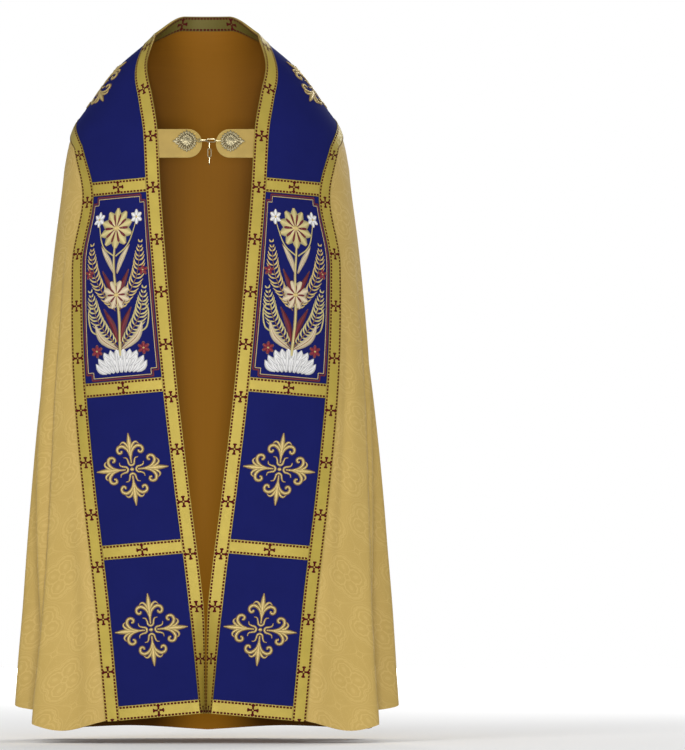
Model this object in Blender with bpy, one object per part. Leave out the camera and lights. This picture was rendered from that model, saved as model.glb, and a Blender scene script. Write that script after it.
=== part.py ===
"""Cope, hanging as it is worn with the clasp hooked and nobody in it.

Metres, +Z up. The front faces -Y and +X is to the right of someone who looks at the
front. The origin is at the middle of the neck, level with the root of the collar, where
the wearer's neck and shoulders carry the cloth.

The cloth is worked out from horizontal rings. A ring's size at each height comes from
SECTIONS, the front opening from OPENING, and the folds and the hem from FOLDS and HEM.
Two grids cover it: the band along the straight edge, which goes up one front, behind the
neck and down the other front, and the skirt, which hangs from the band's outer line.
Lining, cloth, velvet and braid are layers of these two grids, moved out along one set of
normals, so that they never meet.
"""

from collections import namedtuple
from math import cos, pi, radians, sin

import bmesh
import bpy
import numpy as np
from mathutils import Vector

# Driving dimensions

BRAID_WIDTH = 0.030
PANEL_WIDTH = 0.162
BAND_WIDTH = PANEL_WIDTH + 2 * BRAID_WIDTH
BAR_HEIGHT = 0.029
BAND_TILT = 0.09
BAND_REACH = radians(100)
SEAM_INSET = 0.00025

COLLAR_TOP = 0.038
COLLAR_RISE = radians(60)
SHOULDER_OUTER = -0.205
YOKE_OUTER = -0.1535
YOKE_CURVE = 2.2
EDGE_GAP = 0.0040

Layer = namedtuple("Layer", "inside wall")
LINING = Layer(-0.0013, 0.0010)
CLOTH = Layer(0.0, 0.0012)
VELVET = Layer(0.0015, 0.0012)
BRAID = Layer(0.0030, 0.0010)
COLLAR_LINING = Layer(-0.0026, 0.0010)
CENTRE_BRAID = Layer(0.0034, 0.0010)

# A ring at each level: half its width, its depth before and behind its middle, how far
# back that middle lies, and how square the ring is (2 is an ellipse).
Section = namedtuple("Section", "level half_width front back middle square")
SECTIONS = (
    Section(0.038, 0.086, 0.060, 0.070, 0.000, 2.0),
    Section(0.006, 0.100, 0.066, 0.078, 0.000, 2.0),
    Section(-0.070, 0.181, 0.103, 0.100, 0.005, 2.0),
    Section(-0.145, 0.238, 0.138, 0.115, 0.010, 2.0),
    Section(-0.195, 0.271, 0.160, 0.124, 0.014, 2.0),
    Section(-0.245, 0.285, 0.178, 0.131, 0.018, 2.05),
    Section(-0.450, 0.313, 0.213, 0.147, 0.025, 2.2),
    Section(-0.900, 0.361, 0.230, 0.187, 0.030, 2.5),
    Section(-1.430, 0.397, 0.242, 0.240, 0.030, 2.7),
)

# Half the width of the front opening, and the width of the band beside it, which is
# gathered a little under the shoulder. Below zero the two fronts would cross, so there
# the braids turn in and meet.
Opening = namedtuple("Opening", "level half_width band")
OPENING = (
    Opening(0.000, 0.104, BAND_WIDTH),
    Opening(-0.065, 0.121, BAND_WIDTH),
    Opening(-0.125, 0.110, BAND_WIDTH),
    Opening(-0.195, 0.0987, 0.212),
    Opening(-0.315, 0.092, 0.178),
    Opening(-0.458, 0.081, 0.215),
    Opening(-0.706, 0.059, BAND_WIDTH),
    Opening(-0.922, 0.034, BAND_WIDTH),
    Opening(-1.138, 0.007, BAND_WIDTH),
    Opening(-1.382, -0.0165, BAND_WIDTH),
)

# Cross bars of the bands: the level of each bar's top at the inner braid, and the rows
# of the grid between it and the next bar up, or the shoulder.
Bar = namedtuple("Bar", "name top rows_above")
BARS = (
    Bar("hem", -1.353, 2),
    Bar("lower", -1.027, 2),
    Bar("middle", -0.698, 3),
    Bar("upper", -0.292, 4),
)

# Folds of the skirt: where each lies between the band (0) and the middle of the back (1),
# how far it reaches to each side, its depth at the hem, and the level where it starts.
FOLD_GROWTH = 0.8
Fold = namedtuple("Fold", "place reach depth start")
FOLDS = (
    Fold(0.10, 0.10, 0.012, -0.75),
    Fold(0.29, 0.09, 0.125, -0.28),
    Fold(0.50, 0.09, 0.125, -0.36),
    Fold(0.76, 0.13, 0.018, -0.60),
)

# Level of the skirt's hem at each place.
Hem = namedtuple("Hem", "place level")
HEM = (
    Hem(0.00, -1.400),
    Hem(0.12, -1.421),
    Hem(0.22, -1.405),
    Hem(0.34, -1.383),
    Hem(0.41, -1.362),
    Hem(0.48, -1.335),
    Hem(0.60, -1.425),
    Hem(0.80, -1.419),
    Hem(1.00, -1.428),
)

# Hood: a shield that hangs from the yoke's braid, and its fringe.
HOOD_BOTTOM = -0.605
HOOD_CORNER = 0.100
Edge = namedtuple("Edge", "level half_width")
HOOD_EDGE = (
    Edge(-0.170, 0.222),
    Edge(-0.230, 0.240),
    Edge(-0.300, 0.250),
    Edge(-0.370, 0.254),
    Edge(-0.620, 0.254),
)
HOOD_ROWS = 7
HOOD_CORNER_ROWS = 5
HOOD_COLUMNS = 17
HOOD_BUNCHING = radians(65)
HOOD_SEAT = 0.0021
HOOD_STANDOFF = 0.010
HOOD_WALL = 0.0020
HOOD_BRAID = Layer(0.0028, 0.0010)
HOOD_BRAID_WIDTH = 0.020
HOOD_BRAID_DROP = 0.0010
HOOD_BRAID_STEPS = 44
FRINGE_STRANDS = 150
FRINGE_DROP = 0.010
FRINGE_GAP = 0.0004
FRINGE_STRIP = 0.006
FRINGE_WALL = 0.0024
FRINGE_LENGTH = 0.046
FRINGE_SPREAD = 0.45
FRINGE_LIFT = 0.3
STRAND_TAPER = 0.55

# Clasp: two tabs with rosettes, and a chain that hooks on at the right and hangs down.
CLASP_LEVEL = -0.2207
TAB_LEVELS = (-0.1960, -0.2540)
TAB_ROUND = 0.0285
TAB_END = {"left": -0.0080, "right": 0.0200}
TAB_BEND = 0.060
TAB_TIP = radians(12)
TAB_LAYER = Layer(-0.0008, 0.0025)
TAB_FACE = TAB_LAYER.inside + TAB_LAYER.wall
ROSETTE_AT = {"left": -0.0393, "right": 0.0499}
ROSETTE_RADIUS = 0.0190
ROSETTE_PETALS = 14
ROSETTE_SCALLOP = 0.0012
ROSETTE_POINT = 0.0075
ROSETTE_POINT_SPREAD = 0.22
ROSETTE_WALL = 0.0050
WIRE = 0.00095
LINK_LENGTH = 0.0195
LINK_WIDTH = 0.0085
PLAY = 0.0003
EYE_RADIUS = 0.0032
HOOK_TIP = 0.0030
DROP_X = 0.0070


def smooth(table, column, at):
    """Cubic curve through one column of a table, by its first column, flat past the ends."""
    rows = sorted(table)
    x = np.array([row[0] for row in rows])
    y = np.array([getattr(row, column) for row in rows])
    step = np.diff(x)
    rise = np.diff(y) / step
    slope = np.zeros(len(x))
    slope[0], slope[-1] = rise[0], rise[-1]
    turning = rise[:-1] * rise[1:] <= 0
    total = np.where(turning, 1.0, rise[:-1] + rise[1:])
    slope[1:-1] = np.where(turning, 0.0, 2 * rise[:-1] * rise[1:] / total)
    at = np.clip(at, x[0], x[-1])
    i = np.clip(np.searchsorted(x, at) - 1, 0, len(x) - 2)
    t = (at - x[i]) / step[i]
    low = (1 + 2 * t) * (1 - t) ** 2 * y[i] + t * (1 - t) ** 2 * step[i] * slope[i]
    high = t * t * (3 - 2 * t) * y[i + 1] - t * t * (1 - t) * step[i] * slope[i + 1]
    return low + high


def ease(t):
    """Smooth step from 0 to 1."""
    t = np.clip(t, 0, 1)
    return t * t * (3 - 2 * t)


def ring(turn, level):
    """Point of the unfolded cloth: turn is 0 at the front, pi at the back, on the +X side."""
    turn, level = np.broadcast_arrays(turn, level)
    half_width = smooth(SECTIONS, "half_width", level)
    front = smooth(SECTIONS, "front", level)
    back = smooth(SECTIONS, "back", level)
    middle = smooth(SECTIONS, "middle", level)
    power = 2 / smooth(SECTIONS, "square", level)
    across = np.abs(np.sin(turn)) ** power
    along = np.abs(np.cos(turn)) ** power
    depth = np.where(turn < pi / 2, -front, back)
    return np.stack([half_width * across, middle + depth * along, level], axis=-1)


def turn_at(half_width, level):
    """Turn of the front point of a ring that lies half_width from the middle."""
    share = half_width / smooth(SECTIONS, "half_width", level)
    power = smooth(SECTIONS, "square", level) / 2
    return np.arcsin(np.clip(share, 0, 1) ** power)


def lengths(points):
    """Distance along a line of points."""
    steps = np.linalg.norm(np.diff(points, axis=0), axis=1)
    return np.concatenate([[0], np.cumsum(steps)])


# The two grids of the right half

SAMPLES = 241
VELVET_COLUMNS = 3


def front_levels():
    """Levels of the band's rows at the opening, from the shoulder down to the hem."""
    levels = []
    for bar, above in zip(BARS, BARS[1:] + (None,)):
        levels += [bar.top - BAR_HEIGHT, bar.top]
        top = above.top - BAR_HEIGHT if above else 0.0
        steps = np.arange(1, bar.rows_above) / bar.rows_above
        levels += list(bar.top + (top - bar.top) * steps)
    return np.array(levels + [0.0])[::-1]


def band_columns(line):
    """Places across the band, in metres from its inner edge, for a line of that length."""
    velvet = np.linspace(BRAID_WIDTH, line - BRAID_WIDTH, VELVET_COLUMNS + 1)
    return np.concatenate([[0], velvet, [line]])


def across(turns, levels):
    """Turns and levels of the band's columns on a line across it."""
    run = lengths(ring(turns, levels))
    columns = band_columns(run[-1])
    return np.interp(columns, run, turns), np.interp(columns, run, levels)


def front_line(level):
    """Turns and levels of a row of the front band, which drops a little as it goes out."""
    inner = smooth(OPENING, "half_width", level)
    start = max(inner, EDGE_GAP)
    turns = np.linspace(turn_at(start, level), BAND_REACH, SAMPLES)
    levels = level - BAND_TILT * (ring(turns, level)[:, 0] - inner)
    reach = lengths(ring(turns, levels)) + start - inner
    columns = band_columns(float(smooth(OPENING, "band", level)))
    return np.interp(columns, reach, turns), np.interp(columns, reach, levels)


def turned_in(points, level):
    """Turn the braid in where the fronts meet, so that it keeps its width."""
    inner = smooth(OPENING, "half_width", level)
    if inner < EDGE_GAP:
        rest = points[1, 0] - EDGE_GAP
        points[0] = points[1]
        points[0, 0] = EDGE_GAP
        points[0, 1] += np.sqrt(max(BRAID_WIDTH ** 2 - rest ** 2, 0))
    return points


def yoke_outer(turn):
    """Level of the band's outer line behind the shoulders."""
    return YOKE_OUTER + (SHOULDER_OUTER - YOKE_OUTER) * (2 - 2 * turn / pi) ** YOKE_CURVE


def skirt_columns():
    """Places of the skirt's columns, closer together in the deep folds."""
    inner = [FOLDS[1].place - FOLDS[1].reach, FOLDS[2].place + FOLDS[2].reach]
    places = list(np.linspace(0, inner[0], 4)[:-1])
    for fold in FOLDS[1:3]:
        places += list(fold.place + fold.reach * np.linspace(-1, 1, 7))
    return np.array(places + list(np.linspace(inner[1], 1, 6)[1:]))


def fold_depth(place, level, hem):
    """How far the folds draw the cloth in."""
    depth = np.zeros(np.broadcast(place, level).shape)
    for fold in FOLDS:
        grown = np.clip((fold.start - level) / (fold.start - hem), 0, 1) ** FOLD_GROWTH
        away = np.clip(np.abs(place - fold.place) / fold.reach, 0, 1)
        depth = depth + fold.depth * grown * np.cos(away * pi / 2) ** 2
    return depth


def half_grids():
    """Band lines (ridge to hem, then ridge to back) and skirt rows, on the +X side."""
    levels = front_levels()
    shoulder = BARS[-1].rows_above - 1
    ends = [front_line(level) for level in levels]
    corner_turn, corner_level = ends[shoulder][0][-1], ends[shoulder][1][-1]
    front, outer = [], []
    for row, level in enumerate(levels):
        if row < shoulder:
            share = row / shoulder
            inner_turn = turn_at(smooth(OPENING, "half_width", level), level) if row else pi / 2
            outer_turn = pi / 2 + (corner_turn - pi / 2) * share
            outer_level = SHOULDER_OUTER + (corner_level - SHOULDER_OUTER) * share
            part = np.linspace(0, 1, SAMPLES)
            turns, lows = across(inner_turn + (outer_turn - inner_turn) * part,
                                 level + (outer_level - level) * part)
        else:
            turns, lows = ends[row]
        front.append(turned_in(ring(turns, lows), level))
        outer.append((turns[-1], lows[-1]))
    places = skirt_columns()
    hem = smooth(HEM, "level", places)
    skirt = []
    for row, (turn, level) in enumerate(outer):
        turns = np.linspace(turn, pi, SAMPLES)
        run = lengths(ring(turns, level))
        turns = np.interp(places * run[-1], run, turns)
        if row == 0:
            yoke_turns = turns
            top = yoke_outer(turns)
        share = (level - outer[0][1]) / (outer[-1][1] - outer[0][1])
        lows = top + (hem - top) * share
        points = ring(turns, lows)
        tangent = ring(turns + 0.01, lows) - ring(turns - 0.01, lows)
        tangent /= np.linalg.norm(tangent, axis=1, keepdims=True)
        inward = np.stack([-tangent[:, 1], tangent[:, 0], 0 * turns], axis=1)
        skirt.append(points + inward * fold_depth(places, lows, hem)[:, None])
    back = []
    for turn in yoke_turns:
        top = COLLAR_TOP * ease((turn - pi / 2) / COLLAR_RISE)
        part = np.linspace(0, 1, SAMPLES)
        back.append(ring(*across(np.full(SAMPLES, turn), top + (yoke_outer(turn) - top) * part)))
    return np.array(front), np.array(back), np.array(skirt)


# The whole cloth as one net of points

def triangles(points, blocks):
    """Two triangles for each square of the blocks, split on the shorter diagonal."""
    found = []
    for block in blocks:
        a, b = block[:-1, :-1].ravel(), block[1:, :-1].ravel()
        c, d = block[1:, 1:].ravel(), block[:-1, 1:].ravel()
        first_way = np.linalg.norm(points[a] - points[c], axis=1)
        second_way = np.linalg.norm(points[b] - points[d], axis=1)
        short = (first_way <= second_way)[:, None]
        found.append(np.where(short, np.stack([a, b, c], 1), np.stack([a, b, d], 1)))
        found.append(np.where(short, np.stack([a, c, d], 1), np.stack([b, c, d], 1)))
    return np.concatenate(found)


class Net:
    """Both grids of the whole cloth on one list of points, with a normal at each."""

    def __init__(self):
        front, back, skirt = half_grids()
        mirror = np.array([-1, 1, 1])
        self.rows = len(front) - 1
        self.columns = len(back) - 1
        right = np.concatenate([back[::-1], front[1:]])
        band = np.concatenate([(right * mirror)[::-1][:-1], right])
        skirt = np.concatenate([skirt * mirror, skirt[:, ::-1][:, 1:]], axis=1)
        self.points = np.concatenate([skirt.reshape(-1, 3), band.reshape(-1, 3)])
        self.skirt = np.arange(skirt[..., 0].size).reshape(skirt.shape[:2])
        self.band = np.arange(band[..., 0].size).reshape(band.shape[:2]) + self.skirt.size
        self.band[:, -1] = np.concatenate(
            [self.skirt[:0:-1, 0], self.skirt[0], self.skirt[1:, -1]])
        faces = triangles(self.points, [self.band, self.skirt.T])
        corner = self.points[faces]
        flat = np.cross(corner[:, 1] - corner[:, 0], corner[:, 2] - corner[:, 0])
        self.normals = np.zeros_like(self.points)
        for k in range(3):
            np.add.at(self.normals, faces[:, k], flat)
        self.normals /= np.maximum(np.linalg.norm(self.normals, axis=1, keepdims=True), 1e-12)


def border_of(faces):
    """Edges that belong to one triangle only, each with that triangle's third corner."""
    edges = np.concatenate([faces[:, [0, 1, 2]], faces[:, [1, 2, 0]], faces[:, [2, 0, 1]]])
    keys = np.sort(edges[:, :2], axis=1)
    _, where, count = np.unique(keys, axis=0, return_index=True, return_counts=True)
    return edges[where[count == 1]]


def drawn_in(points, border, amount):
    """Points with the open border moved in, so that neighbours at a seam stay apart."""
    a, b, c = points[border[:, 0]], points[border[:, 1]], points[border[:, 2]]
    along = (b - a) / np.linalg.norm(b - a, axis=1, keepdims=True)
    inward = (c - a) - along * ((c - a) * along).sum(axis=1, keepdims=True)
    inward /= np.linalg.norm(inward, axis=1, keepdims=True)
    push = np.zeros_like(points)
    np.add.at(push, border[:, 0], inward)
    np.add.at(push, border[:, 1], inward)
    size = np.linalg.norm(push, axis=1, keepdims=True)
    return points + amount * push / np.maximum(size, 1e-9)


# Objects

def material(name, colour, roughness, metallic=0.0):
    """A plain material of this colour."""
    made = bpy.data.materials.new(name)
    made.use_nodes = True
    shader = made.node_tree.nodes["Principled BSDF"]
    shader.inputs["Base Color"].default_value = (*colour, 1)
    shader.inputs["Roughness"].default_value = roughness
    shader.inputs["Metallic"].default_value = metallic
    return made


def add(name, mesh, surface, collection):
    """Object of this mesh and material in the collection."""
    made = bpy.data.objects.new(name, mesh)
    collection.objects.link(made)
    mesh.materials.append(surface)
    return made


def shell(name, points, normals, faces, layer, surface, collection):
    """Closed wall on an open surface, both its faces moved out along the same normals."""
    border = border_of(faces)
    inner = drawn_in(points, border, SEAM_INSET) + normals * layer.inside
    outer = inner + normals * layer.wall
    far = len(inner)
    low, high = border[:, 0], border[:, 1]
    rim = np.stack([low, high, high + far, low + far], axis=1)
    used = np.unique(faces)
    place = np.zeros(2 * far, int)
    place[used] = np.arange(len(used))
    place[used + far] = np.arange(len(used)) + len(used)
    parts = [place[faces + far], place[faces[:, ::-1]], place[rim]]
    mesh = bpy.data.meshes.new(name)
    mesh.from_pydata(np.concatenate([inner[used], outer[used]]).tolist(), [],
                     [face for part in parts for face in part.tolist()])
    return add(name, mesh, surface, collection)


def sheet(name, net, blocks, layer, surface, collection):
    """One layer of cloth on blocks of the net."""
    faces = triangles(net.points, blocks)
    return shell(name, net.points, net.normals, faces, layer, surface, collection)


def band_rows():
    """First and last row of each bar, and of each panel above one, from the hem up."""
    bars, panels, row = [], [], 0
    for bar in BARS:
        bars.append((bar.name, row, row + 1))
        panels.append((bar.name, row + 1, row + 1 + bar.rows_above))
        row += 1 + bar.rows_above
    return bars, panels


def cloth_pieces(net, surfaces, collection):
    """Lining, damask panels, velvet panels and braids."""
    rows, columns = net.rows, net.columns
    lines = len(net.band)
    side, rear = (seam_column(fold) for fold in FOLDS[1:3])
    left, right = slice(0, rows + 1), slice(lines - rows - 1, lines)
    behind = slice(rows, lines - rows)
    whole = [net.band, net.skirt.T]
    sheet("lining", net, whole, LINING, surfaces["lining"], collection)
    cuts = (
        ("body_front_left", net.band[left], 0, side),
        ("body_side_left", None, side, rear),
        ("body_back", net.band[behind], rear, 2 * columns - rear),
        ("body_side_right", None, 2 * columns - rear, 2 * columns - side),
        ("body_front_right", net.band[right], 2 * columns - side, 2 * columns),
    )
    for name, band, first, last in cuts:
        blocks = [net.skirt[:, first:last + 1].T] + ([] if band is None else [band])
        sheet(name, net, blocks, CLOTH, surfaces["damask"], collection)

    bars, panels = band_rows()
    velvet = slice(1, -1)
    for side, turn in (("left", 1), ("right", -1)):
        band = net.band[::turn]
        if turn < 0:
            band = band[:, ::-1]
        inner, outer = (slice(0, 2), slice(-2, None))[::turn]
        for name, low, high in panels:
            stop = rows + columns if name == "upper" else high
            sheet(f"velvet_{name}_{side}", net, [band[low:stop + 1, velvet]], VELVET,
                  surfaces["velvet"], collection)
        for name, low, high in bars:
            sheet(f"braid_bar_{name}_{side}", net, [band[low:high + 1, velvet]], BRAID,
                  surfaces["braid"], collection)
        sheet(f"braid_inner_{side}", net, [band[:rows + 1, inner]], BRAID, surfaces["braid"],
              collection)
        sheet(f"braid_outer_{side}", net, [band[:rows + 1, outer]], BRAID, surfaces["braid"],
              collection)
    sheet("braid_collar", net, [net.band[behind, :2]], BRAID, surfaces["braid"], collection)
    sheet("braid_collar_inside", net, [net.band[behind, :2]], COLLAR_LINING,
          surfaces["braid"], collection)
    sheet("braid_yoke", net, [net.band[behind, -2:]], BRAID, surfaces["braid"], collection)
    centre_braid(net, surfaces["braid"], collection)


def centre_braid(net, surface, collection):
    """Braid down the middle of the back, over the joint of the two velvet panels."""
    behind = net.band[net.rows:-net.rows, 1:-1]
    points, normals = [], []
    for x in np.linspace(-0.5, 0.5, 5) * BRAID_WIDTH:
        for row in behind.T:
            at, turned = net.points[row], net.normals[row]
            points.append([np.interp(x, at[:, 0], at[:, k]) for k in range(3)])
            normals.append([np.interp(x, at[:, 0], turned[:, k]) for k in range(3)])
    points, normals = np.array(points), np.array(normals)
    faces = triangles(points, [np.arange(len(points)).reshape(5, -1)])
    shell("braid_centre", points, normals, faces, CENTRE_BRAID, surface, collection)


def seam_column(fold):
    """Column of the seam that runs down the straight wall of a deep fold."""
    wall = fold.place + fold.reach / 2
    return int(np.argmin(np.abs(skirt_columns() - wall)))


def outward(turn, level):
    """Normal of the unfolded cloth."""
    around = ring(turn + 1e-3, level) - ring(turn - 1e-3, level)
    down = ring(turn, level - 1e-3) - ring(turn, level + 1e-3)
    normal = np.cross(around, down)
    return -normal / np.linalg.norm(normal, axis=-1, keepdims=True)


# Hood and fringe

def back_turn(run, level):
    """Turn at a distance from the middle of the back, along the ring at that level."""
    turns = np.linspace(pi, radians(70), SAMPLES)
    return float(np.interp(run, lengths(ring(turns, level)), turns))


def hood_point(run, level, out):
    """Point of the hood, run to the right of the middle of the back, and its normal."""
    side = 1 if run >= 0 else -1
    turn = back_turn(abs(run), level)
    drop = np.clip((YOKE_OUTER - level) / (YOKE_OUTER - HOOD_BOTTOM), 0, 1)
    stand = HOOD_SEAT + HOOD_STANDOFF * (1 - (1 - drop) ** 4) + out
    normal = outward(np.array(turn), np.array(level))
    mirror = np.array([side, 1, 1])
    return (ring(turn, level) + normal * stand) * mirror, normal * mirror


def hood_side(level):
    """Turn of the hood's straight side."""
    return pi - turn_at(smooth(HOOD_EDGE, "half_width", level), level)


def hood_top():
    """Level at which the hood's side meets the yoke's line."""
    level = YOKE_OUTER
    for _ in range(8):
        level = float(yoke_outer(hood_side(level)))
    return level


def hood_half(level):
    """Half the hood's width at a level, round its back."""
    turns = np.linspace(pi, hood_side(level), SAMPLES)
    half = lengths(ring(turns, level))[-1]
    below = HOOD_BOTTOM + HOOD_CORNER - level
    if below > 0:
        half -= HOOD_CORNER - np.sqrt(max(HOOD_CORNER ** 2 - below ** 2, 0))
    return half


def hood_shield(surface, collection):
    """The hood's wall: rows from the yoke down, closer together round the corners."""
    plain = (HOOD_CORNER + HOOD_BOTTOM - YOKE_OUTER) / (HOOD_BOTTOM - YOKE_OUTER)
    bend = plain + (1 - plain) * np.sin(np.linspace(0, pi / 2, HOOD_CORNER_ROWS))[1:]
    shares = np.concatenate([plain * np.linspace(0, 1, HOOD_ROWS) ** 1.5, bend])
    places = np.sin(np.linspace(-1, 1, HOOD_COLUMNS) * HOOD_BUNCHING) / sin(HOOD_BUNCHING)
    points, normals = [], []
    for share in shares:
        for place in places:
            low = YOKE_OUTER + (HOOD_BOTTOM - YOKE_OUTER) * share
            for _ in range(5):
                run = abs(place) * hood_half(low)
                top = yoke_outer(back_turn(run, low))
                low = top + (HOOD_BOTTOM - top) * share
            point, normal = hood_point(np.sign(place) * run, low, 0)
            points.append(point)
            normals.append(normal)
    points, normals = np.array(points), np.array(normals)
    block = np.arange(len(points)).reshape(len(shares), len(places))[:, ::-1]
    faces = triangles(points, [block])
    shell("hood", points, normals, faces, Layer(0, HOOD_WALL), surface, collection)


def hood_outline(count, below_yoke):
    """Evenly spaced places on the hood's sides and bottom, each with its outward way."""
    top = hood_top() - below_yoke
    corner = HOOD_BOTTOM + HOOD_CORNER
    path = [(hood_half(low), low, 1, 0) for low in np.linspace(top, corner, 20)]
    for turn in np.linspace(0, pi / 2, 25)[1:]:
        low = corner - HOOD_CORNER * sin(turn)
        path.append((hood_half(low), low, cos(turn), -sin(turn)))
    path += [(run, HOOD_BOTTOM, 0, -1) for run in np.linspace(path[-1][0], 0, 8)[1:]]
    right = np.array(path)
    left = right[::-1][1:] * np.array([-1, 1, -1, 1])
    path = np.concatenate([right, left])
    run = lengths(path[:, :2])
    evenly = np.linspace(0, run[-1], count + 1)
    return np.stack([np.interp(evenly, run, column) for column in path.T], axis=1)


def hood_braid(surface, collection):
    """Braid on the hood's sides and bottom, its outer edge on the hood's edge."""
    points, normals = [], []
    for run, level, aside, up in hood_outline(HOOD_BRAID_STEPS, HOOD_BRAID_DROP):
        for inset in (0, HOOD_BRAID_WIDTH):
            point, normal = hood_point(run - inset * aside, level - inset * up, 0)
            points.append(point)
            normals.append(normal)
    points, normals = np.array(points), np.array(normals)
    block = np.arange(len(points)).reshape(-1, 2)
    faces = triangles(points, [block])
    shell("braid_hood", points, normals, faces, HOOD_BRAID, surface, collection)


def hood_fringe(surface, collection):
    """Fringe: a strip along the hood's edge whose outer side is drawn out in strands."""
    near, deep = FRINGE_GAP, FRINGE_GAP + FRINGE_STRIP
    points, tips = [], []
    path = hood_outline(FRINGE_STRANDS, FRINGE_DROP)
    for run, level, aside, up in path:
        for reach, out in ((near, 0), (near, FRINGE_WALL), (deep, FRINGE_WALL), (deep, 0)):
            points.append(hood_point(run + reach * aside, level + reach * up, out)[0])
    steps = [(path[k] + path[k + 1]) / 2 for k in range(FRINGE_STRANDS)]
    for run, level, aside, up in steps:
        way = np.array([aside * FRINGE_SPREAD, -1.0 + FRINGE_LIFT * min(abs(aside), 1)])
        way *= FRINGE_LENGTH / np.linalg.norm(way)
        start = np.array([run + deep * aside, level + deep * up])
        foot, _ = hood_point(*start, FRINGE_WALL / 2)
        tip, _ = hood_point(*(start + way), FRINGE_WALL / 2)
        tips.append(tip - foot)
    points = np.array(points)
    corner = np.arange(len(points)).reshape(-1, 4)
    faces = [corner[0, ::-1].tolist(), corner[-1].tolist()]
    verts = list(points)
    for k, tip in enumerate(tips):
        here, there = corner[k], corner[k + 1]
        for i, j in ((0, 1), (1, 2), (3, 0)):
            faces.append([here[i], here[j], there[j], there[i]])
        root = [here[2], here[3], there[3], there[2]]
        centre = points[root].mean(axis=0)
        first = len(verts)
        verts += [centre + (points[r] - centre) * STRAND_TAPER + tip for r in root]
        end = [first + n for n in range(4)]
        for n in range(4):
            m = (n + 1) % 4
            faces.append([root[n], root[m], end[m], end[n]])
        faces.append(end)
    mesh = bpy.data.meshes.new("fringe")
    mesh.from_pydata([tuple(map(float, v)) for v in verts], [],
                     [[int(v) for v in face] for face in faces])
    tidy = bmesh.new()
    tidy.from_mesh(mesh)
    bmesh.ops.recalc_face_normals(tidy, faces=tidy.faces)
    tidy.to_mesh(mesh)
    tidy.free()
    add("hood_fringe", mesh, surface, collection)


# Clasp

def tab_point(across, level):
    """Point and normal of a tab on the +X side: straight, then bent back to the front."""
    turn = turn_at(max(across, TAB_BEND), level)
    point = ring(turn, level)
    slope = ring(turn, level + 1e-3) - ring(turn, level - 1e-3)
    normal = outward(np.array(turn), np.array(level))
    if across < TAB_BEND:
        normal = np.array([0, -slope[2], slope[1]]) / np.hypot(slope[1], slope[2])
        point[0] = across
    return point, normal


def net_edge(level):
    """Half width of the opening where the cloth's edge runs straight between its rows."""
    levels = front_levels()
    return float(np.interp(level, levels[::-1], smooth(OPENING, "half_width", levels)[::-1]))


def clasp_tab(side, surface, collection):
    """Tab of damask from a front's edge towards the middle, with a round end."""
    sign = 1 if side == "right" else -1
    high, low = TAB_LEVELS
    round_at = TAB_END[side] * sign + TAB_ROUND
    turns = np.linspace(TAB_TIP, pi / 2, 6)
    columns = [(round_at - TAB_ROUND * cos(turn), sin(turn), 0) for turn in turns]
    columns += [(round_at, 1, share) for share in np.linspace(0, 1, 4)[1:]]
    points, normals = [], []
    for x, height, share in columns:
        for row in np.linspace(-0.5, 0.5, 5):
            level = (high + low) / 2 + (high - low) * height * row
            root = net_edge(level) - 2 * PLAY
            point, normal = tab_point(x + (root - x) * share, level)
            points.append(point)
            normals.append(normal)
    mirror = np.array([sign, 1, 1])
    points, normals = np.array(points) * mirror, np.array(normals) * mirror
    block = np.arange(len(points)).reshape(len(columns), -1)
    faces = triangles(points, [block if sign > 0 else block[::-1]])
    shell(f"clasp_tab_{side}", points, normals, faces, TAB_LAYER, surface, collection)


def clasp_place(x, up, out):
    """Point of the clasp's own plane, which leans back with the tabs."""
    point, normal = tab_point(0, CLASP_LEVEL)
    lift = Vector((0, normal[2], -normal[1]))
    return Vector(point) + Vector((x, 0, 0)) + lift * up + Vector(normal) * out


def clasp_rosette(side, surface, collection):
    """Scalloped plate with a pointed leaf on its outer side, standing on the tab."""
    outer = 0.0 if side == "right" else pi
    outline = bpy.data.curves.new(f"clasp_rosette_{side}", "CURVE")
    outline.dimensions = "2D"
    outline.fill_mode = "BOTH"
    outline.extrude = ROSETTE_WALL / 2
    count = 6 * ROSETTE_PETALS
    spline = outline.splines.new("POLY")
    spline.points.add(count - 1)
    spline.use_cyclic_u = True
    for k in range(count):
        turn = 2 * pi * k / count
        away = (turn - outer + pi) % (2 * pi) - pi
        radius = ROSETTE_RADIUS + ROSETTE_SCALLOP * cos(ROSETTE_PETALS * turn)
        radius += ROSETTE_POINT * np.exp(-(away / ROSETTE_POINT_SPREAD) ** 2)
        spline.points[k].co = (radius * cos(turn), radius * sin(turn), 0, 1)
    made = add(f"clasp_rosette_{side}", outline, surface, collection)
    made.location = clasp_place(ROSETTE_AT[side], 0, TAB_FACE + 2 * PLAY + ROSETTE_WALL / 2)
    lean = clasp_place(0, 1, 0) - clasp_place(0, 0, 0)
    made.rotation_euler = (np.arctan2(lean.z, lean.y), 0, 0)


def wire(name, path, closed, surface, collection):
    """Round wire along a path of points."""
    curve = bpy.data.curves.new(name, "CURVE")
    curve.dimensions = "3D"
    curve.bevel_depth = WIRE
    curve.bevel_resolution = 1
    curve.use_fill_caps = not closed
    spline = curve.splines.new("POLY")
    spline.points.add(len(path) - 1)
    spline.use_cyclic_u = closed
    for point, place in zip(spline.points, path):
        point.co = (*place, 1)
    return add(name, curve, surface, collection)


def link(name, centre, long_way, wide_way, surface, collection):
    """Chain link: a ring of wire with straight sides and round ends."""
    bend = LINK_WIDTH / 2 - WIRE
    straight = (LINK_LENGTH - LINK_WIDTH) / 2
    path = []
    for end in (1, -1):
        for turn in np.linspace(-pi / 2, pi / 2, 6):
            along = end * (straight + bend * cos(turn))
            path.append(centre + long_way * along + wide_way * (end * bend * sin(turn)))
    return wire(name, path, True, surface, collection)


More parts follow.
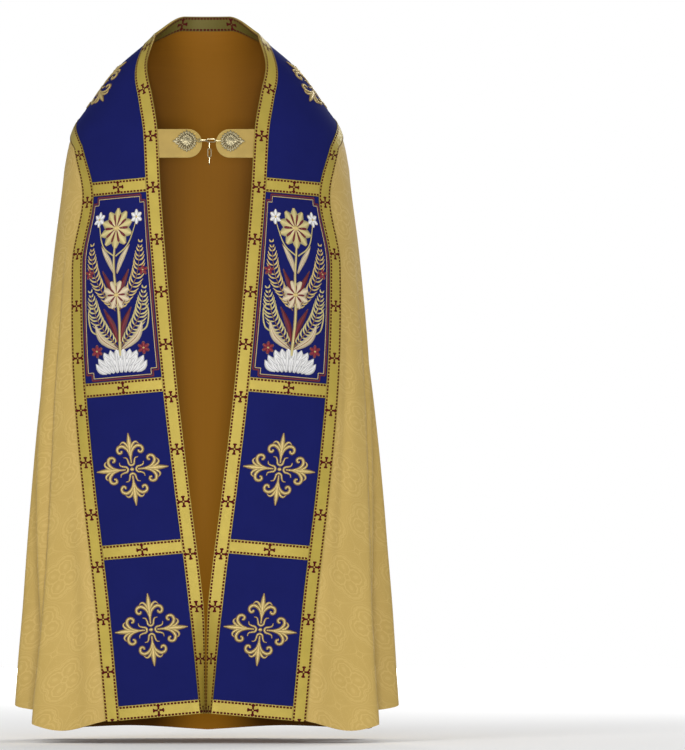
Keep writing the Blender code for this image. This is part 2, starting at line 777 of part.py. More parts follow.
def clasp_chain(surface, collection):
    """Eye, hook, the two links between them and the three that hang."""
    reach = LINK_LENGTH / 2 - WIRE
    step = 2 * WIRE + PLAY
    plane = TAB_FACE + 2 * PLAY + LINK_WIDTH / 2
    right = Vector((1, 0, 0))
    up = clasp_place(0, 1, 0) - clasp_place(0, 0, 0)
    out = clasp_place(0, 0, 1) - clasp_place(0, 0, 0)

    eye_x = ROSETTE_AT["left"] + ROSETTE_RADIUS + ROSETTE_SCALLOP + PLAY + WIRE + EYE_RADIUS
    circle = [clasp_place(eye_x + EYE_RADIUS * cos(turn), EYE_RADIUS * sin(turn), plane)
              for turn in np.linspace(0, 2 * pi, 13)[:-1]]
    wire("clasp_eye", circle, True, surface, collection)

    first_x = eye_x + EYE_RADIUS - step + reach
    link("chain_link_1", clasp_place(first_x, 0, plane), right, out, surface, collection)
    second_x = first_x + 2 * reach - step
    link("chain_link_2", clasp_place(second_x, 0, plane), right, up, surface, collection)

    bend_x = second_x + reach
    rosette_x = ROSETTE_AT["right"] - ROSETTE_RADIUS - ROSETTE_SCALLOP - PLAY
    hook = [clasp_place(bend_x + HOOK_TIP, 0, plane + step)]
    hook += [clasp_place(bend_x - step * sin(turn), 0, plane + step * cos(turn))
             for turn in np.linspace(0, pi, 7)]
    hook += [clasp_place(rosette_x, 0, plane - step)]
    wire("clasp_hook", hook, False, surface, collection)

    hang = clasp_place(DROP_X, WIRE - LINK_WIDTH / 2, plane)
    down, back = Vector((0, 0, -1)), Vector((0, 1, 0))
    hang -= down * step
    for number, wide in ((1, back), (2, right), (3, back)):
        link(f"drop_link_{number}", hang + down * reach, down, wide, surface, collection)
        hang += down * (2 * reach - step)


SURFACES = (
    ("lining", (0.235, 0.102, 0.012), 0.45, 0.0),
    ("damask", (0.55, 0.37, 0.09), 0.45, 0.0),
    ("velvet", (0.010, 0.014, 0.115), 0.85, 0.0),
    ("braid", (0.52, 0.37, 0.07), 0.40, 0.2),
    ("fringe", (0.38, 0.24, 0.08), 0.55, 0.1),
    ("metal", (0.70, 0.62, 0.42), 0.30, 0.9),
)


def main():
    """Build the cope."""
    for leftover in list(bpy.data.objects):
        bpy.data.objects.remove(leftover)
    collection = bpy.data.collections.new("cope")
    bpy.context.scene.collection.children.link(collection)
    surfaces = {name: material(name, *rest) for name, *rest in SURFACES}
    net = Net()
    cloth_pieces(net, surfaces, collection)
    hood_shield(surfaces["velvet"], collection)
    hood_braid(surfaces["braid"], collection)
    hood_fringe(surfaces["fringe"], collection)
    for side in ("left", "right"):
        clasp_tab(side, surfaces["damask"], collection)
        clasp_rosette(side, surfaces["metal"], collection)
    clasp_chain(surfaces["metal"], collection)


main()
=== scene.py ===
"""Finish of a cope: damask, satin, velvet, woven braid, gold embroidery, fringe and clasp.

Metres, +Z up. The front faces -Y. The cloth's layers are worked out again from the same
horizontal rings as the solids, on a finer net, and each layer is moved out along the
net's normals, so that the layers never meet.
"""

from collections import namedtuple
from math import cos, pi, radians, sin, tau

import bmesh
import bpy
import numpy as np
from bpy.props import FloatProperty, FloatVectorProperty, IntProperty, PointerProperty
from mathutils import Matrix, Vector


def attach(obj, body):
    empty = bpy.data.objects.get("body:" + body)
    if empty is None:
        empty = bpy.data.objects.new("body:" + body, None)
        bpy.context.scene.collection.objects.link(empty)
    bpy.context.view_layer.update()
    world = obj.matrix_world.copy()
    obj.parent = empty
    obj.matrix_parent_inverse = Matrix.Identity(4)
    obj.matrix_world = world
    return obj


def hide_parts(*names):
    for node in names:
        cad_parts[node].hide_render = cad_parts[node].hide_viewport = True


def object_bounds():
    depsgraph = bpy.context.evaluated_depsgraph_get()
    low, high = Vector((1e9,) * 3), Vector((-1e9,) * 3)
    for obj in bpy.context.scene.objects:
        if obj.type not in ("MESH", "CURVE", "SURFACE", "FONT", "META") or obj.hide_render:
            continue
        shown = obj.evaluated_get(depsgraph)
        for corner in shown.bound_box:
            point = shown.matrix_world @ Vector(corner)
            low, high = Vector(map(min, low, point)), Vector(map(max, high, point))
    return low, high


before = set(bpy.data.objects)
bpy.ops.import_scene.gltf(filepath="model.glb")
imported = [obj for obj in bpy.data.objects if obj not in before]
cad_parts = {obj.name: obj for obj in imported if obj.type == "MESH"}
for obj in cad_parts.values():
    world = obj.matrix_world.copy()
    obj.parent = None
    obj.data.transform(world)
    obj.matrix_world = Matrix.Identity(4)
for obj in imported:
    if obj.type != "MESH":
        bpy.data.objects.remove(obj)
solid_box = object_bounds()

bl_info = {
    "name": "Cope finish",
    "version": (1, 0, 0),
    "blender": (4, 5, 0),
    "location": "3D View > Sidebar > Cope",
    "description": "Builds the cloth, embroidery, fringe and clasp of a cope over its solids",
    "category": "Object",
}

# Sizes of the cut, as in the solids.
BRAID_WIDTH = 0.030
PANEL_WIDTH = 0.162
BAND_WIDTH = PANEL_WIDTH + 2 * BRAID_WIDTH
BAR_HEIGHT = 0.029
BAND_TILT = 0.09
BAND_REACH = radians(100)
COLLAR_TOP = 0.038
COLLAR_RISE = radians(60)
SHOULDER_OUTER = -0.205
YOKE_OUTER = -0.1535
YOKE_CURVE = 2.2
EDGE_GAP = 0.0040
SIDES = (("left", -1), ("right", 1))

# Points of a line whose length is measured, and steps of turn and level that tangents are
# taken over. The middle lines have no tangent, so none is taken nearer to them than that.
SAMPLES = 241
RING_STEP = 0.001
SKIRT_TANGENT = 0.01
MIDDLE_GAP = 0.003

Section = namedtuple("Section", "level half_width front back middle square")
SECTIONS = (
    Section(0.038, 0.086, 0.060, 0.070, 0.000, 2.0),
    Section(0.006, 0.100, 0.066, 0.078, 0.000, 2.0),
    Section(-0.070, 0.181, 0.103, 0.100, 0.005, 2.0),
    Section(-0.145, 0.238, 0.138, 0.115, 0.010, 2.0),
    Section(-0.195, 0.271, 0.160, 0.124, 0.014, 2.0),
    Section(-0.245, 0.285, 0.178, 0.131, 0.018, 2.05),
    Section(-0.450, 0.313, 0.213, 0.147, 0.025, 2.2),
    Section(-0.900, 0.361, 0.230, 0.187, 0.030, 2.5),
    Section(-1.430, 0.397, 0.242, 0.240, 0.030, 2.7),
)

Opening = namedtuple("Opening", "level half_width band")
OPENING = (
    Opening(0.000, 0.104, BAND_WIDTH),
    Opening(-0.065, 0.121, BAND_WIDTH),
    Opening(-0.125, 0.110, BAND_WIDTH),
    Opening(-0.195, 0.0987, 0.212),
    Opening(-0.315, 0.092, 0.178),
    Opening(-0.458, 0.081, 0.215),
    Opening(-0.706, 0.059, BAND_WIDTH),
    Opening(-0.922, 0.034, BAND_WIDTH),
    Opening(-1.138, 0.007, BAND_WIDTH),
    Opening(-1.382, -0.0165, BAND_WIDTH),
)

Bar = namedtuple("Bar", "name top rows_above")
BARS = (
    Bar("hem", -1.353, 2),
    Bar("lower", -1.027, 2),
    Bar("middle", -0.698, 3),
    Bar("upper", -0.292, 4),
)

FOLD_GROWTH = 0.8
Fold = namedtuple("Fold", "place reach depth start")
FOLDS = (
    Fold(0.10, 0.10, 0.012, -0.75),
    Fold(0.29, 0.09, 0.125, -0.28),
    Fold(0.50, 0.09, 0.125, -0.36),
    Fold(0.76, 0.13, 0.018, -0.60),
)

Hem = namedtuple("Hem", "place level")
HEM = (
    Hem(0.00, -1.400),
    Hem(0.12, -1.421),
    Hem(0.22, -1.405),
    Hem(0.34, -1.383),
    Hem(0.41, -1.362),
    Hem(0.48, -1.335),
    Hem(0.60, -1.425),
    Hem(0.80, -1.419),
    Hem(1.00, -1.428),
)

# Soft creases of the skirt: where each starts between the band (0) and the middle of the
# back (1) on either side, how far it drifts towards its lower end, its upper and lower
# end, its reach to each side, its depth, which is below zero for a ridge, and how much
# steeper it is on the band's side.
Crease = namedtuple("Crease", "side place drift top bottom reach depth lean")
CREASES = (
    Crease(1, 0.128, 0.085, -0.40, -1.43, 0.026, 0.0220, 0.62),
    Crease(1, 0.030, 0.020, -0.50, -1.12, 0.022, 0.0045, 0.2),
    Crease(1, 0.405, 0.000, -0.50, -1.20, 0.035, 0.0050, 0.0),
    Crease(1, 0.640, 0.015, -0.70, -1.43, 0.035, -0.0080, 0.0),
    Crease(1, 0.735, 0.030, -0.92, -1.43, 0.026, 0.0065, 0.3),
    Crease(1, 0.870, -0.02, -0.66, -1.43, 0.045, -0.0055, 0.0),
    Crease(1, 0.950, -0.01, -1.02, -1.43, 0.030, 0.0045, 0.0),
    Crease(-1, 0.055, 0.170, -0.40, -1.43, 0.026, 0.0240, 0.62),
    Crease(-1, 0.045, 0.030, -0.85, -1.43, 0.028, 0.0050, 0.2),
    Crease(-1, 0.395, 0.000, -0.62, -1.32, 0.032, 0.0055, 0.0),
    Crease(-1, 0.625, 0.010, -0.80, -1.43, 0.040, -0.0085, 0.0),
    Crease(-1, 0.705, 0.025, -0.70, -1.38, 0.024, 0.0060, 0.3),
    Crease(-1, 0.840, -0.02, -0.88, -1.43, 0.040, -0.0060, 0.0),
    Crease(-1, 0.915, 0.010, -0.64, -1.20, 0.030, 0.0040, 0.0),
)

# A crease deepens over its first part and grows shallower past its third quarter.
CREASE_ONSET = 2.2
CREASE_FADE = 0.7
CREASE_FADES_AT = 0.75

# Layers of the cloth: height of each one's inner face over the net, and its wall.
Layer = namedtuple("Layer", "inside wall")
LINING = Layer(-0.0013, 0.0010)
CLOTH = Layer(0.0, 0.0012)
VELVET = Layer(0.0015, 0.0012)
BRAID = Layer(0.0014, 0.0026)
COLLAR_LINING = Layer(-0.0026, 0.0010)
CENTRE_BRAID = Layer(0.0030, 0.0014)
VELVET_TOP = VELVET.inside + VELVET.wall
LEAST_LENGTH = 1e-30
SEAM_INSET = 0.00025
SHARP_EDGE = radians(55)
WEAVE_START = (0.05235, -0.0610)

# Steps of the fine net, and columns of the solids' coarser one.
ROW_STEP = 0.014
SKIRT_STEP = 0.009
BRAID_STEPS = 4
VELVET_STEPS = 15
VELVET_MIDDLE = BRAID_STEPS + VELVET_STEPS // 2
VELVET_COLUMNS = slice(BRAID_STEPS, BRAID_STEPS + VELVET_STEPS + 1)
FRONT_COLUMNS = 4
FOLD_COLUMNS = 7
BACK_COLUMNS = 6

# Hood and its edge.
HOOD_BOTTOM = -0.605
HOOD_CORNER = 0.100
Edge = namedtuple("Edge", "level half_width")
HOOD_EDGE = (
    Edge(-0.170, 0.222),
    Edge(-0.230, 0.240),
    Edge(-0.300, 0.250),
    Edge(-0.370, 0.254),
    Edge(-0.620, 0.254),
)
HOOD_SEAT = 0.0021
HOOD_STANDOFF = 0.010
HOOD_RIPPLE = 0.0016
HOOD_WALL = 0.0020
HOOD_BRAID = Layer(0.0020, 0.0016)
HOOD_BRAID_WIDTH = 0.020
HOOD_BRAID_DROP = 0.0010
HOOD_EDGE_STEPS = 190
HOOD_ROWS = 34
HOOD_COLUMNS = 61
BACK_LEVELS = (-0.69, -0.13, 113)
BACK_REACH = radians(70)

# Fringe: where it starts below the yoke, and its strands.
FRINGE_DROP = 0.0100
STRAND_LENGTH = 0.0485
STRAND_RADIUS = 0.00155
STRAND_TWIST = 26.0
STRAND_RINGS = 13
STRAND_SIDES = 6
STRAND_SEED = 11

# Clasp.
CLASP_LEVEL = -0.2207
TAB_LEVELS = (-0.1960, -0.2540)
TAB_ROUND = 0.0285
TAB_END = {"left": -0.0080, "right": 0.0200}
TAB_BEND = 0.060
TAB_OVERLAP = 0.0015
TAB_WEAVE = 0.02
TAB_TIP = radians(12)
TAB_LAYER = Layer(-0.0008, 0.0025)
TAB_FACE = TAB_LAYER.inside + TAB_LAYER.wall
ROSETTE_AT = {"left": -0.0393, "right": 0.0499}
ROSETTE_RADIUS = 0.0182
ROSETTE_LEAVES = 20
WIRES = ("clasp_eye", "clasp_hook", "chain_link_1", "chain_link_2",
         "drop_link_1", "drop_link_2", "drop_link_3")

# Strips of braid: width, then its crosses' size and repeat and its stitches' repeat as
# shares of the settings, and a factor on its gold. The dimmed strip's factor is painted shade,
# which darkens the braid inside the collar as if it lay in the collar's shadow.
Strip = namedtuple("Strip", "width cross cross_pitch stitch_pitch shade")
STRIPS = {
    "edge": Strip(BRAID_WIDTH, 1.0, 1.0, 1.0, (1.0, 1.0, 1.0)),
    "bar": Strip(BAR_HEIGHT, 1.0, 1.0, 1.0, (1.0, 1.0, 1.0)),
    # Painted shade: the braid inside the collar, darkened as if in shadow.
    "dull": Strip(BRAID_WIDTH, 1.0, 1.0, 1.0, (0.31, 0.33, 0.38)),
    "hood": Strip(HOOD_BRAID_WIDTH, 0.62, 0.61, 0.85, (1.0, 1.0, 1.0)),
}

# Levels of a cross of each edge braid, of the gold crosses and of the wreath's middle.
EDGE_CROSSES = {"inner": -0.4204, "outer": -0.4500}
CROSS_LEVELS = {"waist": -0.8877, "knee": -1.2135}
SHOULDER_TURN = radians(25)
SHOULDER_DROP = 0.015
SHOULDER_LEVELS = (-0.005, -0.24, 95)
SHOULDER_TURNS = (pi / 2 - 1.35, pi / 2 + 1.35, 163)
WREATH_LEVEL = -0.375

# Height of the stem's drawing, and the bounding rows of its panel, counted from the
# shoulder.
STEM_HEIGHT = 0.375
STEM_ROWS = (5, 8)

# Stitches: how deep a stroke's edges sink in, the half width from which its ridge has its
# full height, points across it, and height and overhang of the darker edge under it.
SUNK = 0.0003
FULL_HALF = 0.0018
STROKE_POINTS = 7
RIM_HEIGHT = 0.0006
RIM_SPREAD = 0.0009

# Stage: middle of the picture across and up, its width in pixels, the camera's sensor in
# millimetres, the place of the cope's front, the floor and the even light.
FRAME_MIDDLE = (0.2779, -0.6963)
PICTURE_WIDTH = 685
SENSOR_WIDTH = 36.0
FRONT_PLACE = -0.15
FLOOR_DROP = 0.018
FLOOR_REACH = 7.5
AMBIENT = 0.42

Lamp = namedtuple("Lamp", "name place aim width power")
LAMPS = (
    Lamp("front", (0.15, -8.0, -0.55), (0.02, 0.0, -0.75), 1.2, 300.0),
    Lamp("key", (-2.6, -4.6, 1.8), (0.0, 0.0, -0.60), 2.0, 100.0),
    Lamp("fill", (3.4, -3.0, 0.6), (0.0, 0.0, -0.70), 2.0, 20.0),
    Lamp("back", (-0.4, 8.0, 0.0), (0.0, 0.1, -0.70), 1.2, 285.0),
    Lamp("back_key", (2.8, 4.4, 1.8), (0.0, 0.1, -0.60), 2.0, 100.0),
)


# The surface of the cloth

def smooth(table, column, at):
    """Cubic curve through one column of a table, by its first column, flat past the ends."""
    rows = sorted(table)
    x = np.array([row[0] for row in rows])
    y = np.array([getattr(row, column) for row in rows])
    step = np.diff(x)
    rise = np.diff(y) / step
    slope = np.zeros(len(x))
    slope[0], slope[-1] = rise[0], rise[-1]
    turning = rise[:-1] * rise[1:] <= 0
    total = np.where(turning, 1.0, rise[:-1] + rise[1:])
    slope[1:-1] = np.where(turning, 0.0, 2 * rise[:-1] * rise[1:] / total)
    at = np.clip(at, x[0], x[-1])
    i = np.clip(np.searchsorted(x, at) - 1, 0, len(x) - 2)
    t = (at - x[i]) / step[i]
    low = (1 + 2 * t) * (1 - t) ** 2 * y[i] + t * (1 - t) ** 2 * step[i] * slope[i]
    high = t * t * (3 - 2 * t) * y[i + 1] - t * t * (1 - t) * step[i] * slope[i + 1]
    return low + high


def ease(t):
    """Smooth step from 0 to 1: 3t^2 - 2t^3."""
    t = np.clip(t, 0, 1)
    return t * t * (3 - 2 * t)


def ring(turn, level):
    """Superellipse at a level: x = w sin^p(turn), y = middle -/+ depth cos^p(turn)."""
    turn, level = np.broadcast_arrays(turn, level)
    half_width = smooth(SECTIONS, "half_width", level)
    front = smooth(SECTIONS, "front", level)
    back = smooth(SECTIONS, "back", level)
    middle = smooth(SECTIONS, "middle", level)
    power = 2 / smooth(SECTIONS, "square", level)
    across = np.abs(np.sin(turn)) ** power
    along = np.abs(np.cos(turn)) ** power
    depth = np.where(turn < pi / 2, -front, back)
    return np.stack([half_width * across, middle + depth * along, level], axis=-1)


def turn_at(half_width, level):
    """Turn of the front point of a ring that lies half_width from the middle."""
    share = half_width / smooth(SECTIONS, "half_width", level)
    power = smooth(SECTIONS, "square", level) / 2
    return np.arcsin(np.clip(share, 0, 1) ** power)


def lengths(points):
    """Distance along lines of points, whose last axes are point and coordinate."""
    steps = np.linalg.norm(np.diff(points, axis=-2), axis=-1)
    start = np.zeros(steps.shape[:-1] + (1,))
    return np.concatenate([start, np.cumsum(steps, axis=-1)], axis=-1)


def unit(vectors):
    """Vectors on the last axis, each divided by its length; zero stays zero."""
    size = np.linalg.norm(vectors, axis=-1, keepdims=True)
    return vectors / np.maximum(size, LEAST_LENGTH)


def paired(first, second):
    """Two arrays, each spread to the other's shape, as the two coordinates of one."""
    return np.stack(np.broadcast_arrays(first, second), -1)


def numbered(grid):
    """Numbers of a grid's points, row by row."""
    return np.arange(grid.shape[0] * grid.shape[1]).reshape(grid.shape[:2])


def divided(values, step):
    """The values with each gap cut into equal parts no longer than step, and their places."""
    out, marks = [values[0]], [0]
    for low, high in zip(values, values[1:]):
        parts = max(1, int(np.ceil(abs(high - low) / step)))
        out += list(low + (high - low) * np.arange(1, parts + 1) / parts)
        marks.append(len(out) - 1)
    return np.array(out), marks


def bar_levels():
    """Levels of the rows that bound the panels and bars, from the shoulder to the hem."""
    levels = []
    for bar, above in zip(BARS, BARS[1:] + (None,)):
        levels += [bar.top - BAR_HEIGHT, bar.top]
        top = above.top - BAR_HEIGHT if above else 0.0
        steps = np.arange(1, bar.rows_above) / bar.rows_above
        levels += list(bar.top + (top - bar.top) * steps)
    return np.array(levels + [0.0])[::-1]


def band_columns(line):
    """Places across the band, in metres from its inner edge, for a line of that length."""
    braid = np.linspace(0, BRAID_WIDTH, BRAID_STEPS + 1)
    velvet = np.linspace(BRAID_WIDTH, line - BRAID_WIDTH, VELVET_STEPS + 1)
    return np.concatenate([braid[:-1], velvet, line - braid[::-1][1:]])


def across(turns, levels):
    """Turns and levels of the band's columns on a line across it."""
    run = lengths(ring(turns, levels))
    columns = band_columns(run[-1])
    return np.interp(columns, run, turns), np.interp(columns, run, levels)


def front_line(level):
    """Turns and levels of a row of the front band, which drops a little as it goes out."""
    inner = smooth(OPENING, "half_width", level)
    start = max(inner, EDGE_GAP)
    turns = np.linspace(turn_at(start, level), BAND_REACH, SAMPLES)
    levels = level - BAND_TILT * (ring(turns, level)[:, 0] - inner)
    reach = lengths(ring(turns, levels)) + start - inner
    columns = band_columns(float(smooth(OPENING, "band", level)))
    return np.interp(columns, reach, turns), np.interp(columns, reach, levels)


def turned_in(points, level):
    """Turn the braid in where the fronts meet, straight from its outer edge."""
    inner = smooth(OPENING, "half_width", level)
    if inner < EDGE_GAP:
        edge = points[BRAID_STEPS]
        rest = edge[0] - EDGE_GAP
        end = edge + [-rest, np.sqrt(max(BRAID_WIDTH ** 2 - rest ** 2, 0)), 0]
        share = np.linspace(0, 1, BRAID_STEPS + 1)[:, None]
        points[:BRAID_STEPS + 1] = end + (edge - end) * share
    return points


def yoke_outer(turn):
    """Level of the band's outer line behind the shoulders."""
    return YOKE_OUTER + (SHOULDER_OUTER - YOKE_OUTER) * (2 - 2 * turn / pi) ** YOKE_CURVE


def skirt_columns():
    """Places of the skirt's columns, and the numbers of the seams in the two deep folds."""
    deep = FOLDS[1:3]
    places = list(np.linspace(0, deep[0].place - deep[0].reach, FRONT_COLUMNS)[:-1])
    for fold in deep:
        places += list(fold.place + fold.reach * np.linspace(-1, 1, FOLD_COLUMNS))
    places += list(np.linspace(deep[1].place + deep[1].reach, 1, BACK_COLUMNS)[1:])
    places = np.array(places)
    fine, marks = divided(places, SKIRT_STEP)
    seams = [np.argmin(np.abs(places - (fold.place + fold.reach / 2))) for fold in deep]
    return fine, [marks[seam] for seam in seams]


def fold_depth(place, level, hem):
    """Depth of the folds: a cosine-squared trough across, which grows towards the hem."""
    depth = np.zeros(np.broadcast(place, level).shape)
    for fold in FOLDS:
        grown = np.clip((fold.start - level) / (fold.start - hem), 0, 1) ** FOLD_GROWTH
        away = np.clip(np.abs(place - fold.place) / fold.reach, 0, 1)
        depth = depth + fold.depth * grown * np.cos(away * pi / 2) ** 2
    return depth


def crease_depth(side, place, level):
    """Depth of the soft creases: a bell across and a bell along each one."""
    depth = np.zeros(np.broadcast(place, level).shape)
    for crease in CREASES:
        if crease.side == side:
            along = (crease.top - level) / (crease.top - crease.bottom)
            fading = ease((along - CREASE_FADES_AT) / (1 - CREASE_FADES_AT))
            grown = ease(along * CREASE_ONSET) * (1 - CREASE_FADE * fading)
            away = place - crease.place - crease.drift * np.clip(along, 0, 1)
            reach = crease.reach * np.where(away < 0, 1 - crease.lean, 1 + crease.lean)
            depth = depth + crease.depth * grown * np.exp(-(away / reach) ** 2)
    return depth


class Net:
    """Points and normals of the whole cloth, and the metre coordinates of its weave.

    band and skirt hold the points' numbers on two grids: band runs from the left hem up,
    behind the neck and down to the right hem, from its inner edge out; skirt runs from the
    shoulders down, from the left band round the back to the right one.
    """

    def __init__(self):
        levels, self.marks = divided(bar_levels(), ROW_STEP)
        corner = self.marks[BARS[-1].rows_above - 1]
        ends = [front_line(level) for level in levels]
        corner_turn, corner_level = ends[corner][0][-1], ends[corner][1][-1]
        front, outer = [], []
        part = np.linspace(0, 1, SAMPLES)
        for row, level in enumerate(levels):
            if row < corner:
                share = level / levels[corner]
                inner = turn_at(smooth(OPENING, "half_width", level), level)
                inner = inner if row else pi / 2
                turn = pi / 2 + (corner_turn - pi / 2) * share
                low = SHOULDER_OUTER + (corner_level - SHOULDER_OUTER) * share
                turns, lows = across(inner + (turn - inner) * part,
                                     level + (low - level) * part)
            else:
                turns, lows = ends[row]
            front.append(turned_in(ring(turns, lows), level))
            outer.append((turns[-1], lows[-1]))
        places, self.seams = skirt_columns()
        right, yoke_turns = self.skirt_half(1, places, outer)
        left, _ = self.skirt_half(-1, places, outer)
        back = []
        for turn in yoke_turns:
            top = COLLAR_TOP * ease((turn - pi / 2) / COLLAR_RISE)
            back.append(ring(*across(np.full(SAMPLES, turn),
                                     top + (yoke_outer(turn) - top) * part)))
        mirror = np.array([-1, 1, 1])
        self.rows = len(levels) - 1
        self.columns = len(places) - 1
        half = np.concatenate([np.array(back)[::-1], np.array(front)[1:]])
        band = np.concatenate([(half * mirror)[::-1][:-1], half])
        skirt = np.concatenate([left * mirror, right[:, ::-1][:, 1:]], axis=1)
        self.points = np.concatenate([skirt.reshape(-1, 3), band.reshape(-1, 3)])
        self.skirt = numbered(skirt)
        self.band = numbered(band) + self.skirt.size
        self.band[:, -1] = np.concatenate(
            [self.skirt[:0:-1, 0], self.skirt[0], self.skirt[1:, -1]])
        band, skirt = self.points[self.band], self.points[self.skirt]
        self.normals = vertex_normals(
            self.points, np.concatenate([quads(self.band), quads(self.skirt.T)]))
        self.width = lengths(band)
        self.run = centred(lengths(band[:, VELVET_MIDDLE]), len(band) // 2)
        round_back = lengths(skirt)
        round_back = round_back - round_back[:, self.columns:self.columns + 1]
        self.skirt_weave = paired(round_back, -skirt[..., 2]) + WEAVE_START
        self.band_weave = paired(self.width, self.run[:, None])

    @staticmethod
    def skirt_half(side, places, outer):
        """Rows of one side of the skirt, from the band to the middle of the back."""
        hem = smooth(HEM, "level", places)
        rows, first, last = [], outer[0][1], outer[-1][1]
        for turn, level in outer:
            turns = np.linspace(turn, pi, SAMPLES)
            run = lengths(ring(turns, level))
            turns = np.interp(places * run[-1], run, turns)
            if not rows:
                yoke_turns = turns
                top = yoke_outer(turns)
            lows = top + (hem - top) * (level - first) / (last - first)
            tangent = unit(ring(turns + SKIRT_TANGENT, lows)
                           - ring(turns - SKIRT_TANGENT, lows))
            inward = np.stack([-tangent[:, 1], tangent[:, 0], 0 * turns], axis=1)
            depth = fold_depth(places, lows, hem) + crease_depth(side, places, lows)
            rows.append(ring(turns, lows) + inward * depth[:, None])
        return np.array(rows), yoke_turns

    def band_place(self, reach, run, out):
        """Point of the band, reach from its inner edge and run from the centre back."""
        line = np.interp(run, self.run, np.arange(len(self.run)))
        low = np.clip(line.astype(int), 0, len(self.run) - 2)
        share = line - low
        column = np.zeros_like(line)
        for near, part in ((low, 1 - share), (low + 1, share)):
            place = (reach[..., None] > self.width[near]).sum(-1) - 1
            place = np.clip(place, 0, self.width.shape[1] - 2)
            start = np.take_along_axis(self.width[near], place[..., None], -1)[..., 0]
            end = np.take_along_axis(self.width[near], place[..., None] + 1, -1)[..., 0]
            column += part * (place + (reach - start) / (end - start))
        side = np.clip(column.astype(int), 0, self.width.shape[1] - 2)
        over = column - side
        found = 0
        for row, a in ((low, 1 - share), (low + 1, share)):
            for col, b in ((side, 1 - over), (side + 1, over)):
                index = self.band[row, col]
                here = self.points[index] + self.normals[index] * out[..., None]
                found = found + here * (a * b)[..., None]
        return found

    def front(self, side):
        """Rows of the band on one front, from the shoulder down."""
        return slice(self.rows, None, -1) if side == "left" else slice(-self.rows - 1, None)

    def run_of(self, side, level):
        """Run of the point on the band's middle line at a level of one front."""
        rows = self.front(side)
        middle = self.points[self.band[rows, VELVET_MIDDLE]]
        return float(np.interp(-level, -middle[:, 2], self.run[rows]))


def centred(run, middle):
    """Distances measured from the middle one."""
    return run - run[middle]


def quads(grid):
    """What a grid holds at the four corners of each of its squares."""
    corners = [grid[:-1, :-1], grid[1:, :-1], grid[1:, 1:], grid[:-1, 1:]]
    return np.stack(corners, axis=2).reshape(-1, 4, *grid.shape[2:])


def crossed(points, faces):
    """Cross product of each face's diagonals, which points out of the face."""
    corner = points[faces]
    return np.cross(corner[:, 2] - corner[:, 0], corner[:, 3] - corner[:, 1])


def vertex_normals(points, faces):
    """Unit normals, each along the sum of its faces' cross products."""
    flat = crossed(points, faces)
    normals = np.zeros_like(points)
    for k in range(4):
        np.add.at(normals, faces[:, k], flat)
    return unit(normals)


# Meshes

def put(name, data):
    """New object in the scene, at the origin."""
    made = bpy.data.objects.new(name, data)
    bpy.context.scene.collection.objects.link(made)
    return made


def piece(name, points, faces, weave, surface, slot, body="garment"):
    """Object of these points and faces, with metre coordinates in the map called weave."""
    mesh = bpy.data.meshes.new(name)
    mesh.from_pydata(np.asarray(points, float).tolist(), [], np.asarray(faces).tolist())
    layer = mesh.uv_layers.new(name="weave")
    layer.data.foreach_set("uv", np.ascontiguousarray(weave, np.float32).ravel())
    mesh.polygons.foreach_set("use_smooth", np.ones(len(mesh.polygons), bool))
    mesh.set_sharp_from_angle(angle=SHARP_EDGE)
    for one in surface if isinstance(surface, list) else [surface]:
        mesh.materials.append(one)
    made = put(name, mesh)
    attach(made, body)
    return made


def walled(points, normals, blocks, weaves, layer, inset=0.0):
    """Closed wall on blocks of a net: both faces moved out along the normals, and a rim."""
    faces = np.concatenate([quads(block) for block in blocks])
    weave = np.concatenate([quads(one) for one in weaves])
    borders = [[k, (k + 1) % 4] for k in range(4)]
    edges = np.concatenate([faces[:, border] for border in borders])
    ends = np.concatenate([weave[:, border] for border in borders])
    inside = np.concatenate([faces[:, (k + 2) % 4] for k in range(4)])
    _, where, count = np.unique(np.sort(edges, axis=1), axis=0, return_index=True,
                                return_counts=True)
    where = where[count == 1]
    rim, ends = edges[where], ends[where]
    low = drawn_in(points, rim, inside[where], inset) + normals * layer.inside
    used = np.unique(faces)
    place = np.zeros(len(points), int)
    place[used] = np.arange(len(used))
    far = len(used)
    faces, rim = place[faces], place[rim]
    sides = np.concatenate([rim, rim[:, ::-1] + far], axis=1)
    verts = np.concatenate([low[used], low[used] + normals[used] * layer.wall])
    return (verts, np.concatenate([faces + far, faces[:, ::-1], sides]),
            np.concatenate([weave, weave[:, ::-1], ends[:, [0, 1, 1, 0]]]))


def drawn_in(points, rim, third, amount):
    """Points with the open border moved in by an amount, across each border edge."""
    start, end, inner = points[rim[:, 0]], points[rim[:, 1]], points[third] - points[rim[:, 0]]
    along = unit(end - start)
    inward = unit(inner - along * (inner * along).sum(axis=1, keepdims=True))
    push = np.zeros_like(points)
    for column in rim.T:
        np.add.at(push, column, inward)
    return points + amount * unit(push)


# Shader arithmetic

